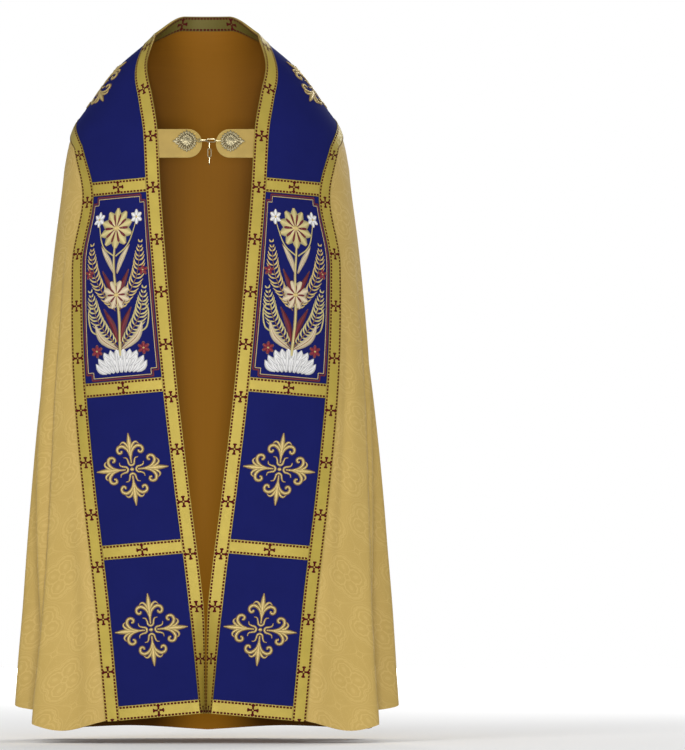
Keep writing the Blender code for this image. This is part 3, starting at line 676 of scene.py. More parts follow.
class Socket:
    """An output of a node, or a tree to add nodes to, with Python's own operators."""

    def __init__(self, tree, source=None):
        self.tree = tree
        self.source = source

    def node(self, kind, inputs=None, output=0, **settings):
        """Add a node: its settings first, then the values or links of its inputs."""
        made = self.tree.nodes.new(kind)
        for name, value in settings.items():
            setattr(made, name, value)
        for name, value in (inputs or {}).items():
            if isinstance(value, Socket):
                self.tree.links.new(value.source, made.inputs[name])
            else:
                made.inputs[name].default_value = value
        return Socket(self.tree, None if output is None else made.outputs[output])

    def math(self, operation, *others):
        """One Math node on this value and the others."""
        inputs = {0: self, **{k + 1: other for k, other in enumerate(others)}}
        return self.node("ShaderNodeMath", inputs, operation=operation)

    def __add__(self, other):
        return self.math("ADD", other)

    def __sub__(self, other):
        return self.math("SUBTRACT", other)

    def __mul__(self, other):
        return self.math("MULTIPLY", other)

    def __truediv__(self, other):
        return self.math("DIVIDE", other)

    def __pow__(self, other):
        return self.math("POWER", other)

    def __rsub__(self, other):
        return self.node("ShaderNodeMath", {0: other, 1: self}, operation="SUBTRACT")

    def __abs__(self):
        return self.math("ABSOLUTE")

    __radd__ = __add__
    __rmul__ = __mul__

    def below(self, edge, soft):
        """1 under the edge and 0 over it, with a soft step between."""
        return self.node("ShaderNodeMapRange", {
            "Value": self, "From Min": edge - soft, "From Max": edge + soft,
            "To Min": 1.0, "To Max": 0.0}, interpolation_type="SMOOTHSTEP")

    def nearest(self, pitch):
        """Distance to the nearest multiple of the pitch, with its sign."""
        return self - (self / pitch).math("ROUND") * pitch


def paint(name, roughness, **constants):
    """New material: its tree, its shader node and its constants set on the shader."""
    made = bpy.data.materials.new(name)
    made.use_nodes = True
    shader = made.node_tree.nodes["Principled BSDF"]
    shader.inputs["Roughness"].default_value = roughness
    for key, value in constants.items():
        shader.inputs[key.replace("_", " ")].default_value = value
    return made, Socket(made.node_tree), shader


def feed(tree, value, shader, name):
    """Link a value to one of the shader's inputs."""
    tree.tree.links.new(value.source, shader.inputs[name])


def parts_of(vector, *names):
    """Parts of a vector, by their names."""
    outputs = vector.node("ShaderNodeSeparateXYZ", {0: vector}).source.node.outputs
    return [Socket(vector.tree, outputs[name]) for name in names]


def weave_of(tree):
    """The two metre coordinates of the piece's weave, and both as a vector."""
    both = tree.node("ShaderNodeUVMap", uv_map="weave")
    return *parts_of(both, "X", "Y"), both


def mixed(tree, share, first, second):
    """Mix of two colours by a share from 0 to 1."""
    return tree.node("ShaderNodeMix", {"Factor": share, 6: first, 7: second}, output=2,
                     data_type="RGBA", clamp_factor=True)


def rgb(colour):
    """A colour as a node's default takes it."""
    return (*colour, 1.0)


def shades(tree, share, colour, dark, light):
    """Colour between a darker and a lighter shade of one, by a share from 0 to 1."""
    base = Vector(colour)
    return mixed(tree, share, rgb(base * dark), rgb(base * light))


def noise(tree, vector, scale, detail, rough=0.5):
    """Grey noise around 0.5."""
    return tree.node("ShaderNodeTexNoise", {
        "Vector": vector, "Scale": scale, "Detail": detail, "Roughness": rough})


def bump(tree, shader, height, strength):
    """Relief of this height field, in metres."""
    feed(tree, tree.node("ShaderNodeBump", {
        "Height": height, "Distance": 1.0, "Strength": strength}), shader, "Normal")


# Settings that a user would change

def colour_setting(name, description, default):
    """A colour, in linear light."""
    return FloatVectorProperty(name=name, description=description, default=default,
                               size=3, min=0.0, max=1.0, subtype="COLOR")


def length_setting(name, description, default):
    """A length in metres."""
    return FloatProperty(name=name, description=description, default=default, min=0.0001,
                         precision=4, subtype="DISTANCE", unit="LENGTH")


class ClothSettings(bpy.types.PropertyGroup):
    """Colours and repeats of the woven cloths."""

    damask: colour_setting("Damask", "Ground of the figured silk", (0.432, 0.296, 0.077))
    damask_figure: colour_setting("Damask figure", "Figure of the silk",
                                  (0.540, 0.381, 0.124))
    medallion: length_setting("Medallion repeat", "Repeat of the silk's medallions", 0.1047)
    lining: colour_setting("Lining", "Satin lining", (0.150, 0.0590, 0.0055))
    velvet: colour_setting("Velvet", "Velvet of the panels and the hood",
                           (0.0062, 0.0085, 0.0820))


class BraidSettings(bpy.types.PropertyGroup):
    """Colours and repeats of the woven braid."""

    gold: colour_setting("Gold", "Ground of the braid", (0.372, 0.283, 0.049))
    mark: colour_setting("Marks", "Crosses and edge stitches", (0.058, 0.0, 0.0015))
    cross_pitch: length_setting("Cross repeat", "Distance between crosses", 0.1073)
    cross_size: length_setting("Cross size", "Span of a cross", 0.0235)
    stitch_pitch: length_setting("Stitch repeat", "Distance between edge stitches", 0.0070)


class ThreadSettings(bpy.types.PropertyGroup):
    """Embroidery and fringe."""

    gold: colour_setting("Gold thread", "Thread of the crosses", (0.560, 0.420, 0.160))
    fringe: colour_setting("Fringe", "Twisted thread of the fringe", (0.340, 0.205, 0.065))
    cross_reach: length_setting("Cross arm", "Length of an arm of the gold crosses", 0.0745)
    strands: IntProperty(name="Strands", description="Twisted strands in the fringe",
                         default=430, min=50, max=800)


class StageSettings(bpy.types.PropertyGroup):
    """Camera and light."""

    distance: FloatProperty(name="Camera distance", description="Camera to the front",
                            default=30.0, min=2.0, subtype="DISTANCE", unit="LENGTH")
    pixel: length_setting("Pixel", "Size of a pixel at the front of the cope", 0.002036)
    light: FloatProperty(name="Light", description="Power of the soft lights", default=1.0,
                         min=0.0, subtype="FACTOR")


class CopeSettings(bpy.types.PropertyGroup):
    """All settings of the cope."""

    cloth: PointerProperty(type=ClothSettings, name="Cloth", description="Woven cloths")
    braid: PointerProperty(type=BraidSettings, name="Braid", description="Woven braid")
    thread: PointerProperty(type=ThreadSettings, name="Thread",
                            description="Embroidery and fringe")
    stage: PointerProperty(type=StageSettings, name="Stage", description="Camera and light")


# Finishes

def damask_finish(settings):
    """Figured silk: quatrefoil medallions in double frames on a square repeat, leaves between.

    A lobe is a circle about the end of the medallion's longer axis, so the distance to the
    figure is sqrt((m - c)^2 + n^2) - r, with m and n the larger and smaller of |x| and |y|.
    """
    made, tree, shader = paint("figured_silk", 0.5, Specular_IOR_Level=0.30)
    u, v, both = weave_of(tree)
    x, y = abs(u.nearest(settings.medallion)), abs(v.nearest(settings.medallion))
    m, n = x.math("MAXIMUM", y), x.math("MINIMUM", y)
    lobe = ((m - 0.0200) ** 2 + n * n).math("SQRT") - 0.0155
    ripple = tau / 0.0085
    wavy = lobe + ((m * ripple).math("SINE") + (n * ripple).math("SINE")) * 0.0006
    band = abs(wavy - 0.0080).below(0.0026, 0.0006)
    vein = abs(wavy - 0.0080).below(0.0006, 0.0004)
    rim_line = abs(lobe - 0.0145).below(0.0007, 0.0005)
    petal = abs(wavy + 0.0010).below(0.0014, 0.0006)
    heart = ((m - 0.0215) ** 2 + (n * 1.6) ** 2).math("SQRT")
    bud = heart.below(0.0060, 0.0006)
    bud_line = abs(heart - 0.0088).below(0.0006, 0.0005)
    star = abs(m + n - 0.0100).below(0.0009, 0.0005)
    outside = 1 - lobe.below(0.0165, 0.0006)
    p, q = settings.medallion / 2 - x, settings.medallion / 2 - y
    spray = abs((p * q).math("SQRT") - 0.0042).below(0.0007, 0.0005)
    knot = abs((p * p + q * q).math("SQRT") - 0.0065).below(0.0008, 0.0005)
    grain = tree.node("ShaderNodeTexVoronoi", {"Vector": both, "Scale": 260.0}, feature="F1")
    leaves = grain.below(0.28, 0.12) * outside
    figure = band - vein * 0.8
    for part in (rim_line * 0.7, petal, bud * 0.8, bud_line * 0.6, star * 0.7, spray * outside,
                 knot * 0.8, leaves * 0.5):
        figure = figure.math("MAXIMUM", part)
    cloud = noise(tree, both, 7.0, 3.0)
    fibre = noise(tree, both, 1400.0, 1.0)
    tone = figure * 0.48 + cloud * 0.50 + fibre * 0.25 - 0.20
    colour = mixed(tree, tone, rgb(settings.damask), rgb(settings.damask_figure))
    feed(tree, colour, shader, "Base Color")
    feed(tree, 0.58 - figure * 0.18 + fibre * 0.05, shader, "Roughness")
    bump(tree, shader, figure * 0.00010 + fibre * 0.00005 + cloud * 0.0016, 0.9)
    return made


def lining_finish(settings):
    """Satin with a faint lengthwise float and slow shade, and a glow for the light that
    comes through the cloth.

    The glow is full on the middle line, gone 0.12 m beside it, where the velvet bands keep
    the light out, and a little stronger below the hood.
    """
    made, tree, shader = paint("satin_lining", 0.55, Specular_IOR_Level=0.06,
                               Emission_Strength=1.0)
    both = weave_of(tree)[-1]
    streak = noise(tree, tree.node("ShaderNodeMapping", {
        "Vector": both, "Scale": (260.0, 6.0, 1.0)}), 1.0, 2.0)
    cloud = noise(tree, both, 5.0, 2.0)
    tone = streak * 0.6 + cloud * 0.4
    feed(tree, shades(tree, tone, settings.lining, 0.86, 1.12), shader, "Base Color")
    feed(tree, 0.50 + streak * 0.1, shader, "Roughness")
    # Painted glow: emission that lights the lining's middle, stronger below the hood, and
    # fades to painted shade at its sides.
    x, z = parts_of(tree.node("ShaderNodeTexCoord", output=3), "X", "Z")
    lower = ((0 - z - 0.05) * 1.6).math("MAXIMUM", 0.0).math("MINIMUM", 1.0)
    painted_glow = abs(x).below(0.065, 0.055) * (lower * 0.060 + 0.087)
    feed(tree, mixed(tree, painted_glow, (0, 0, 0, 1), (1.0, 0.42, 0.022, 1)), shader,
         "Emission Color")
    bump(tree, shader, streak * 0.00004 + cloud * 0.0012, 0.7)
    return made


def velvet_finish(settings):
    """Short, even pile, a little lighter where it leans away."""
    made, tree, shader = paint("blue_velvet", 0.90, Sheen_Weight=0.10, Sheen_Roughness=0.35,
                               Sheen_Tint=(0.10, 0.15, 0.60, 1.0), Specular_IOR_Level=0.08)
    both = weave_of(tree)[-1]
    pile = noise(tree, both, 1100.0, 2.0, 0.7)
    cloud = noise(tree, both, 14.0, 3.0)
    tone = pile * 0.5 + cloud * 0.5
    feed(tree, shades(tree, tone, settings.velvet, 0.78, 1.25), shader, "Base Color")
    bump(tree, shader, pile * 0.00010 + cloud * 0.0009, 0.8)
    return made


def braid_finish(settings, kind):
    """Woven metal-thread braid: dashes inside both edges, and crosses on its middle.

    A cross is folded to one arm: m is the distance along the arm and n the distance beside
    it, and the arm's half width swells near its end.
    """
    strip = STRIPS[kind]
    made, tree, shader = paint(f"gold_braid_{kind}", 0.42, Metallic=0.2,
                               Specular_IOR_Level=0.2)
    u, v, both = weave_of(tree)
    off = u - strip.width / 2
    edge = strip.width / 2 - abs(off)
    pitch = settings.stitch_pitch * strip.stitch_pitch
    dash = abs(v.nearest(pitch)).below(pitch * 0.35, 0.0002)
    marks = abs(edge - 0.0032).below(0.00195, 0.0002) * dash
    size = settings.cross_size * strip.cross
    a, b = abs(off), abs(v.nearest(settings.cross_pitch * strip.cross_pitch))
    m, n = a.math("MAXIMUM", b), a.math("MINIMUM", b)
    swell = (0 - ((m - size * 0.42) / (size * 0.072)) ** 2).math("EXPONENT")
    half = swell * (size * 0.095) + size * 0.085
    arm = (n - half).below(0.0, 0.0002) * m.below(size / 2, 0.0002)
    arm = arm * (1 - (m + n * 0.6).below(size * 0.075, 0.0002))
    marks = marks.math("MAXIMUM", arm)
    rib = ((u * 0.7 + v) * (tau / 0.0011)).math("SINE")
    cloud = noise(tree, both, 26.0, 3.0)
    fibre = noise(tree, both, 900.0, 1.0)
    # The strip's shade factor scales the gold. On the dimmed strip it is painted shade.
    base = Vector([tint * share for tint, share in zip(settings.gold, strip.shade)])
    tone = cloud * 0.7 + fibre * 0.5 - 0.1
    ground = shades(tree, tone, base, 0.78, 1.2)
    bound = edge.below(0.0010, 0.0003)
    worn = rgb((base.x * 0.45, base.y * 0.42, base.z * 0.4))
    ground = mixed(tree, bound * 0.45, ground, worn)
    feed(tree, mixed(tree, marks, ground, rgb(settings.mark)), shader, "Base Color")
    feed(tree, 0.36 + fibre * 0.12 + marks * 0.50, shader, "Roughness")
    feed(tree, 0.22 - marks * 0.22, shader, "Metallic")
    bump(tree, shader, rib * 0.00004 + cloud * 0.0009 + marks * 0.00025, 0.9)
    return made


def thread_finish(name, colour, metallic):
    """Satin stitch: threads side by side across the stroke, lighter on its crown."""
    made, tree, shader = paint(name, 0.45, Metallic=metallic, Sheen_Weight=0.03,
                               Specular_IOR_Level=0.28)
    u, v, both = weave_of(tree)
    wander = noise(tree, both, 160.0, 2.0)
    thread = ((v + wander * 0.0009) * (tau / 0.0011)).math("SINE")
    crown_highlight = 1 - abs(u)
    base = Vector(colour)
    # Painted highlight on the stroke's crown and painted shade at its edges: the colour runs
    # from a darker to a lighter copy of the thread across the stroke.
    tone = crown_highlight * 0.80 + thread * 0.18 + wander * 0.40 - 0.22
    light = rgb([min(1.0, part * 1.20) for part in base])
    feed(tree, mixed(tree, tone, rgb(base * 0.42), light), shader, "Base Color")
    feed(tree, 0.50 - crown_highlight * 0.12, shader, "Roughness")
    bump(tree, shader, thread * 0.00007, 0.8)
    return made


def fringe_finish(settings):
    """Bullion: tight turns of metal thread round each strand."""
    made, tree, shader = paint("bullion", 0.42, Metallic=0.25, Specular_IOR_Level=0.5)
    u, v, both = weave_of(tree)
    turn = ((v / 0.0021 + u) * tau).math("SINE")
    patch = noise(tree, both, 55.0, 2.0)
    base = Vector(settings.fringe)
    # The lighter stripes along the turns are painted highlight. The patches are random tone.
    tone = turn * 0.35 + patch * 0.9 + 0.02
    light = rgb((min(1, base.x * 1.75), min(1, base.y * 1.85), min(1, base.z * 2.1)))
    feed(tree, mixed(tree, tone, rgb(base * 0.45), light), shader, "Base Color")
    bump(tree, shader, turn * 0.00025, 0.9)
    return made


def heading_finish(settings):
    """Woven heading of the fringe: short slanting floats of the same thread."""
    made, tree, shader = paint("heading", 0.45, Metallic=0.2)
    u, v, both = weave_of(tree)
    float_line = ((u * 0.9 + v) * (tau / 0.0024)).math("SINE")
    patch = noise(tree, both, 70.0, 2.0)
    tone = float_line * 0.35 + patch * 0.8 + 0.05
    feed(tree, shades(tree, tone, settings.fringe, 0.5, 1.7), shader, "Base Color")
    bump(tree, shader, float_line * 0.0002, 0.9)
    return made


def tab_finish(settings):
    """Plain ribbed side of the silk."""
    made, tree, shader = paint("tab_silk", 0.6, Specular_IOR_Level=0.25)
    _, v, both = weave_of(tree)
    rib = (v * (tau / 0.0016)).math("SINE")
    cloud = noise(tree, both, 40.0, 2.0)
    feed(tree, shades(tree, cloud, settings.damask, 0.68, 0.96), shader, "Base Color")
    bump(tree, shader, rib * 0.00005 + cloud * 0.0005, 0.8)
    return made


def gilt_finish(pierced):
    """Pale gilt metal, a little duller in its hollows.

    A pierced plate is dark between its leaves, in a ring at 0.74 of its radius.
    """
    made, tree, shader = paint("pierced_gilt" if pierced else "pale_gilt", 0.3, Metallic=1.0)
    place = tree.node("ShaderNodeTexCoord", output=3)
    patch = noise(tree, place, 420.0, 3.0)
    dull = 0.86 if pierced else 1.0
    colour = mixed(tree, patch, rgb(Vector((0.26, 0.21, 0.11)) * dull),
                   rgb(Vector((0.66, 0.59, 0.38)) * dull))
    if pierced:
        u, v, _ = weave_of(tree)
        # Painted shade in the pierced plate's hollows: dark between the leaves, and along a
        # thin ring inside the raised one.
        gap = (0 - (u * tau).math("COSINE")) * 1.4
        painted_hollow_shade = gap.math("MAXIMUM", 0.0) * abs(v - 0.74).below(0.07, 0.03)
        inner = abs((v - 0.50) + (u * (tau / 2)).math("SINE") * 0.03).below(0.018, 0.02)
        colour = mixed(tree, painted_hollow_shade.math("MAXIMUM", inner * 0.5), colour,
                       rgb((0.15, 0.095, 0.035)))
    feed(tree, colour, shader, "Base Color")
    feed(tree, (0.36 if pierced else 0.22) + patch * 0.25, shader, "Roughness")
    bump(tree, shader, patch * 0.0002, 0.6)
    return made


# Hood

def outward(turn, level):
    """Normal of the unfolded cloth: the cross product of its two tangents."""
    turn = np.clip(turn, MIDDLE_GAP, pi - MIDDLE_GAP)
    around = ring(turn + RING_STEP, level) - ring(turn - RING_STEP, level)
    down = ring(turn, level - RING_STEP) - ring(turn, level + RING_STEP)
    return -unit(np.cross(around, down))


class BackTurns:
    """Turn at a distance from the middle of the back, read off rings at many levels."""

    def __init__(self):
        self.levels = np.linspace(*BACK_LEVELS)
        turns = np.linspace(pi, BACK_REACH, SAMPLES)
        runs = lengths(ring(turns, self.levels[:, None]))
        self.total = runs[:, -1]
        self.share = np.linspace(0, 1, SAMPLES)
        self.turns = np.array([np.interp(self.share * run[-1], run, turns) for run in runs])

    def at(self, run, level):
        """Turns at these runs and levels."""
        run, level = np.broadcast_arrays(run, level)
        row = np.interp(level, self.levels, np.arange(len(self.levels)))
        low = np.clip(row.astype(int), 0, len(self.levels) - 2)
        found = 0
        for near, part in ((low, 1 - (row - low)), (low + 1, row - low)):
            column = np.clip(run / self.total[near], 0, 1) * (SAMPLES - 1)
            left = np.clip(column.astype(int), 0, SAMPLES - 2)
            over = column - left
            found = found + part * (self.turns[near, left] * (1 - over)
                                    + self.turns[near, left + 1] * over)
        return found


BACK = BackTurns()


def hood_place(run, level, out):
    """Point and normal of the hood, which stands off the back more as it hangs lower."""
    run, level, out = np.broadcast_arrays(run, level, out)
    turn = BACK.at(np.abs(run), level)
    drop = np.clip((YOKE_OUTER - level) / (YOKE_OUTER - HOOD_BOTTOM), 0, 1)
    ripple = HOOD_RIPPLE * ease(drop * 3)
    ripple = ripple * np.sin(run * 31 + 0.8) * np.sin(run * 13 - level * 9)
    stand = HOOD_SEAT + HOOD_STANDOFF * (1 - (1 - drop) ** 4) + ripple * drop + out
    normal = outward(turn, level)
    mirror = np.stack([np.where(run >= 0, 1, -1), np.ones_like(run), np.ones_like(run)], -1)
    return (ring(turn, level) + normal * stand[..., None]) * mirror, normal * mirror


def hood_side(level):
    """Turn of the hood's straight side."""
    return pi - turn_at(smooth(HOOD_EDGE, "half_width", level), level)


def hood_top():
    """Level at which the hood's side meets the yoke's line."""
    level = YOKE_OUTER
    for _ in range(8):
        level = float(yoke_outer(hood_side(level)))
    return level


def hood_half(level):
    """Half the hood's width at a level, round its back, with round lower corners."""
    level = np.asarray(level, float)
    turns = pi + (hood_side(level) - pi)[..., None] * np.linspace(0, 1, 121)
    half = lengths(ring(turns, level[..., None]))[..., -1]
    below = np.maximum(HOOD_BOTTOM + HOOD_CORNER - level, 0)
    return half - HOOD_CORNER + np.sqrt(np.maximum(HOOD_CORNER ** 2 - below ** 2, 0))


def hood_grid(rows, columns):
    """Runs and levels of the hood's rows: shares of the height under the yoke's line."""
    plain = (HOOD_CORNER + HOOD_BOTTOM - YOKE_OUTER) / (HOOD_BOTTOM - YOKE_OUTER)
    bend = plain + (1 - plain) * np.sin(np.linspace(0, pi / 2, rows // 3))[1:]
    share = np.concatenate([plain * np.linspace(0, 1, rows), bend])[:, None]
    place = np.sin(np.linspace(-1, 1, columns) * radians(60)) / sin(radians(60))
    low = YOKE_OUTER + (HOOD_BOTTOM - YOKE_OUTER) * share + 0 * place
    for _ in range(6):
        run = np.abs(place) * hood_half(low)
        top = yoke_outer(BACK.at(run, low))
        low = top + (HOOD_BOTTOM - top) * share
    return np.sign(place) * run, low


def hood_outline(count, below_yoke):
    """Evenly spaced places on the hood's sides and bottom, each with its outward way, and
    the distances along them.
    """
    top = hood_top() - below_yoke
    corner = HOOD_BOTTOM + HOOD_CORNER
    lows = np.linspace(top, corner, 60)
    side = np.stack([hood_half(lows), lows, 1 + 0 * lows, 0 * lows], 1)
    turn = np.linspace(0, pi / 2, 60)[1:]
    lows = corner - HOOD_CORNER * np.sin(turn)
    bend = np.stack([hood_half(lows), lows, np.cos(turn), -np.sin(turn)], 1)
    runs = np.linspace(bend[-1, 0], 0, 60)[1:]
    base = np.stack([runs, HOOD_BOTTOM + 0 * runs, 0 * runs, 0 * runs - 1], 1)
    right = np.concatenate([side, bend, base])
    path = np.concatenate([right, right[::-1][1:] * [-1, 1, -1, 1]])
    run = lengths(path[:, :2])
    evenly = np.linspace(0, run[-1], count + 1)
    return np.stack([np.interp(evenly, run, column) for column in path.T], 1), evenly


def beside(path, reach):
    """Runs and levels at these distances outside the places of the hood's outline."""
    run, level, aside, up = path.T[..., None]
    return run + aside * reach, level + up * reach


# Embroidery

def smoothed(corners, count):
    """Curve through corner points: Catmull-Rom pieces read at even shares of the length."""
    corners = np.asarray(corners, float)
    if len(corners) == 2:
        return corners[0] + (corners[1] - corners[0]) * np.linspace(0, 1, count)[:, None]
    ends = np.concatenate([[2 * corners[0] - corners[1]], corners,
                           [2 * corners[-1] - corners[-2]]])
    t = np.linspace(0, 1, 12, endpoint=False)[None, :, None]
    a, b, c, d = (ends[k:len(ends) - 3 + k, None] for k in range(4))
    curve = 0.5 * (2 * b + (c - a) * t + (2 * a - 5 * b + 4 * c - d) * t ** 2
                   + (3 * b - 3 * c + d - a) * t ** 3)
    curve = np.concatenate([curve.reshape(-1, 2), corners[-1:]])
    run = lengths(curve)
    evenly = np.linspace(0, run[-1], count)
    return np.stack([np.interp(evenly, run, column) for column in curve.T], 1)


class Stitching:
    """Strokes of satin stitch in a flat drawing, laid on a surface as low, round ridges."""

    def __init__(self):
        self.strokes = []

    def stroke(self, corners, widths, thread, height, count, lift=0.0):
        """A stroke along a curve, with its half widths at even shares of the length."""
        path = smoothed(corners, count)
        share = np.linspace(0, 1, count)
        half = np.interp(share, np.linspace(0, 1, len(widths)), widths)
        self.strokes.append((path, half, thread, height, lift))

    def disc(self, centre, radius, thread, height, lift=0.0):
        """A round dot: a short stroke whose half width follows a circle."""
        share = np.linspace(-1, 1, 11)
        path = np.asarray(centre, float) + np.stack([share * radius * 0.999, 0 * share], 1)
        half = radius * np.sqrt(np.maximum(1 - share ** 2, 0.0004))
        self.strokes.append((path, half, thread, height, lift))

    def turned(self, turn, scale=1.0):
        """The same strokes turned and scaled about the middle."""
        made = Stitching()
        turning = np.array([[cos(turn), sin(turn)], [-sin(turn), cos(turn)]])
        for path, half, thread, height, lift in self.strokes:
            made.strokes.append(((path * scale) @ turning, half * scale, thread, height, lift))
        return made

    def join(self, other):
        """Take in another drawing's strokes."""
        self.strokes += other.strokes

    def lay(self, name, materials, place, top, slot):
        """Mesh of all strokes; across a stroke the ridge is height times (1 - t^2)."""
        section = np.linspace(-1, 1, STROKE_POINTS)
        names = list(materials)
        verts, faces, weaves, threads = [], [], [], []
        start = 0
        for path, half, thread, height, lift in self.strokes:
            way = unit(np.gradient(path, axis=0))
            side = np.stack([-way[:, 1], way[:, 0]], 1)
            flat = path[:, None] + side[:, None] * (half[:, None] * section)[..., None]
            ridge = SUNK + height * np.minimum(1, half / FULL_HALF)[:, None]
            rise = top + lift - SUNK + ridge * (1 - section ** 2)
            grid = place(flat[..., 0], flat[..., 1], rise)
            verts.append(grid.reshape(-1, 3))
            faces.append(quads(start + numbered(grid)))
            weaves.append(quads(paired(section, lengths(path)[:, None])))
            threads.append(np.full(len(faces[-1]), names.index(thread)))
            start += len(verts[-1])
        verts, faces, weaves = (np.concatenate(part) for part in (verts, faces, weaves))
        first = self.strokes[0][0][:1]
        base, probe = (place(first[:, :1], first[:, 1:], np.array([[out]])).ravel()
                       for out in (top, top + 0.01))
        if np.dot(crossed(verts, faces[:1])[0], probe - base) < 0:
            faces, weaves = faces[:, ::-1], weaves[:, ::-1]
        made = piece(name, verts, faces, weaves, [materials[one] for one in names], slot)
        made.data.polygons.foreach_set("material_index",
                                       np.concatenate(threads).astype(np.int32))


def gold_cross():
    """Cross of four scrolled leaf arms round a dot; an arm's length is 1.

    Drawn for the arm that points up: two drooping leaves, two scrolls that curl in, a cup
    with two tendrils, a stem and a leaf, each over a darker edge.
    """
    arm = Stitching()

    def line(corners, widths, height, count=18, lift=0.0):
        arm.stroke(corners, [w + 0.014 for w in widths], "brown", RIM_HEIGHT, count, lift)
        arm.stroke(corners, widths, "gold", height, count, lift + 0.0005)

    for side in (-1, 1):
        line([(side * 0.012, 0.46), (side * 0.055, 0.63), (side * 0.135, 0.735),
              (side * 0.205, 0.745), (side * 0.262, 0.690)],
             [0.020, 0.032, 0.036, 0.028, 0.004], 0.0012)
        line([(side * 0.014, 0.36), (side * 0.050, 0.50), (side * 0.125, 0.600),
              (side * 0.225, 0.645), (side * 0.322, 0.612), (side * 0.352, 0.530),
              (side * 0.312, 0.462), (side * 0.245, 0.472), (side * 0.236, 0.525)],
             [0.016, 0.026, 0.034, 0.040, 0.040, 0.037, 0.033, 0.033, 0.022], 0.0014, 34,
             0.0004)
    line([(-0.205, 0.335), (-0.125, 0.315), (-0.088, 0.235), (-0.068, 0.150),
          (0.0, 0.112), (0.068, 0.150), (0.088, 0.235), (0.125, 0.315), (0.205, 0.335)],
         [0.005, 0.016, 0.022, 0.026, 0.031, 0.026, 0.022, 0.016, 0.005], 0.0011, 30)
    line([(0, 0.17), (0, 0.32), (0, 0.52)], [0.016, 0.022, 0.034, 0.040], 0.0012, 18, 0.0006)
    line([(0, 0.42), (0, 0.70), (0, 1.0)], [0.028, 0.054, 0.062, 0.042, 0.004], 0.0016, 18,
         0.0008)
    whole = Stitching()
    for quarter in range(4):
        whole.join(arm.turned(quarter * pi / 2))
    whole.disc((0, 0), 0.062, "brown", 0.0008)
    whole.disc((0, 0), 0.050, "gold", 0.0014, 0.0005)
    return whole


def blossom(drawing, centre, radius, petals, thread, heart, turn=0.0, broad=0.34,
            edge="brown"):
    """Open flower: petals as strokes from the heart, each over a darker edge, and a dot."""
    widths = [radius * broad * share for share in (0.35, 0.85, 1.0, 0.82, 0.30)]
    for k in range(petals):
        angle = turn + tau * k / petals
        way = np.array([cos(angle), sin(angle)])
        root, bend = centre + way * radius * 0.14, centre + way * radius * 0.62
        drawing.stroke([root, bend, centre + way * (radius + RIM_SPREAD)],
                       [width + RIM_SPREAD for width in widths], edge, RIM_HEIGHT, 10)
        drawing.stroke([root, bend, centre + way * radius], widths, thread, 0.0012, 10, 0.0006)
    drawing.disc(centre, radius * 0.20, heart, 0.0012, 0.0014)


def blossoms(drawing, centre, *flowers):
    """Flowers on one middle, each over the ones before it."""
    for flower in flowers:
        blossom(drawing, np.array(centre), *flower)


def leaf(drawing, path, half, thread, vein, edge="brown", count=16):
    """Leaf with a vein: a broad stroke over a darker edge."""
    widths = [half * share for share in (0.25, 0.8, 1.0, 0.7, 0.06)]
    drawing.stroke(path, [width + RIM_SPREAD for width in widths], edge, RIM_HEIGHT, count)
    drawing.stroke(path, widths, thread, 0.0011, count, 0.0005)
    drawing.stroke(path, [half * 0.15, half * 0.17, half * 0.04], vein, 0.0005, count, 0.0014)


def arched(base, tip, bend):
    """Two mirrored paths from a base to a tip, which bend outwards between them."""
    middle = (np.add(base, tip)) / 2 + [bend, -abs(bend) * 0.35]
    return [np.array([base, middle, tip]) * [side, 1] for side in (-1, 1)]


def leaf_pair(drawing, base, tip, bend, half, thread, vein):
    """Two mirrored leaves from the middle line."""
    for path in arched(base, tip, bend):
        leaf(drawing, path, half, thread, vein)


def feathered(drawing, base, tip, bend, half, thread, count):
    """Long leaf pair made of narrow barbs on both sides of a rib."""
    steps = 60
    widths = [half * share for share in (0.10, 0.24, 0.20, 0.05)]
    for path in arched(base, tip, bend):
        rib = smoothed(path, steps)
        drawing.stroke(rib[::6], [0.0012, 0.0010, 0.0005], "brown", 0.0010, 24, 0.0010)
        ways = unit(np.gradient(rib, axis=0))
        for k in np.linspace(4, steps - 4, count).astype(int):
            share = k / (steps - 1)
            long = half * (0.55 + 1.1 * sin(pi * min(1, share * 1.15)) ** 0.7) * 1.15
            for turn in (-1, 1):
                aside = np.array([-ways[k, 1], ways[k, 0]]) * turn
                bow = rib[k] + ways[k] * long * 0.30 + aside * long * 0.52
                end = rib[k] + ways[k] * long * 0.95 + aside * long * 0.80
                drawing.stroke([rib[k], bow, end], widths, thread, 0.0010, 8)


def stem_frame(drawing, inset, half, thread):
    """Frame with stepped corners, inset from the border of the stem's panel."""
    notch = 0.012
    x, low, high = PANEL_WIDTH / 2 - inset, inset, STEM_HEIGHT - inset
    right = [(x - notch, low), (x - notch, low + notch), (x, low + notch),
             (x, high - notch), (x - notch, high - notch), (x - notch, high)]
    left = [(-a, b) for a, b in right[::-1]]
    corners = left[-1:] + right + left
    for start, end in zip(corners, corners[1:]):
        long = abs(end[0] - start[0]) + abs(end[1] - start[1])
        drawing.stroke([start, end], [half, half], thread, 0.0009, max(6, int(long / notch)))


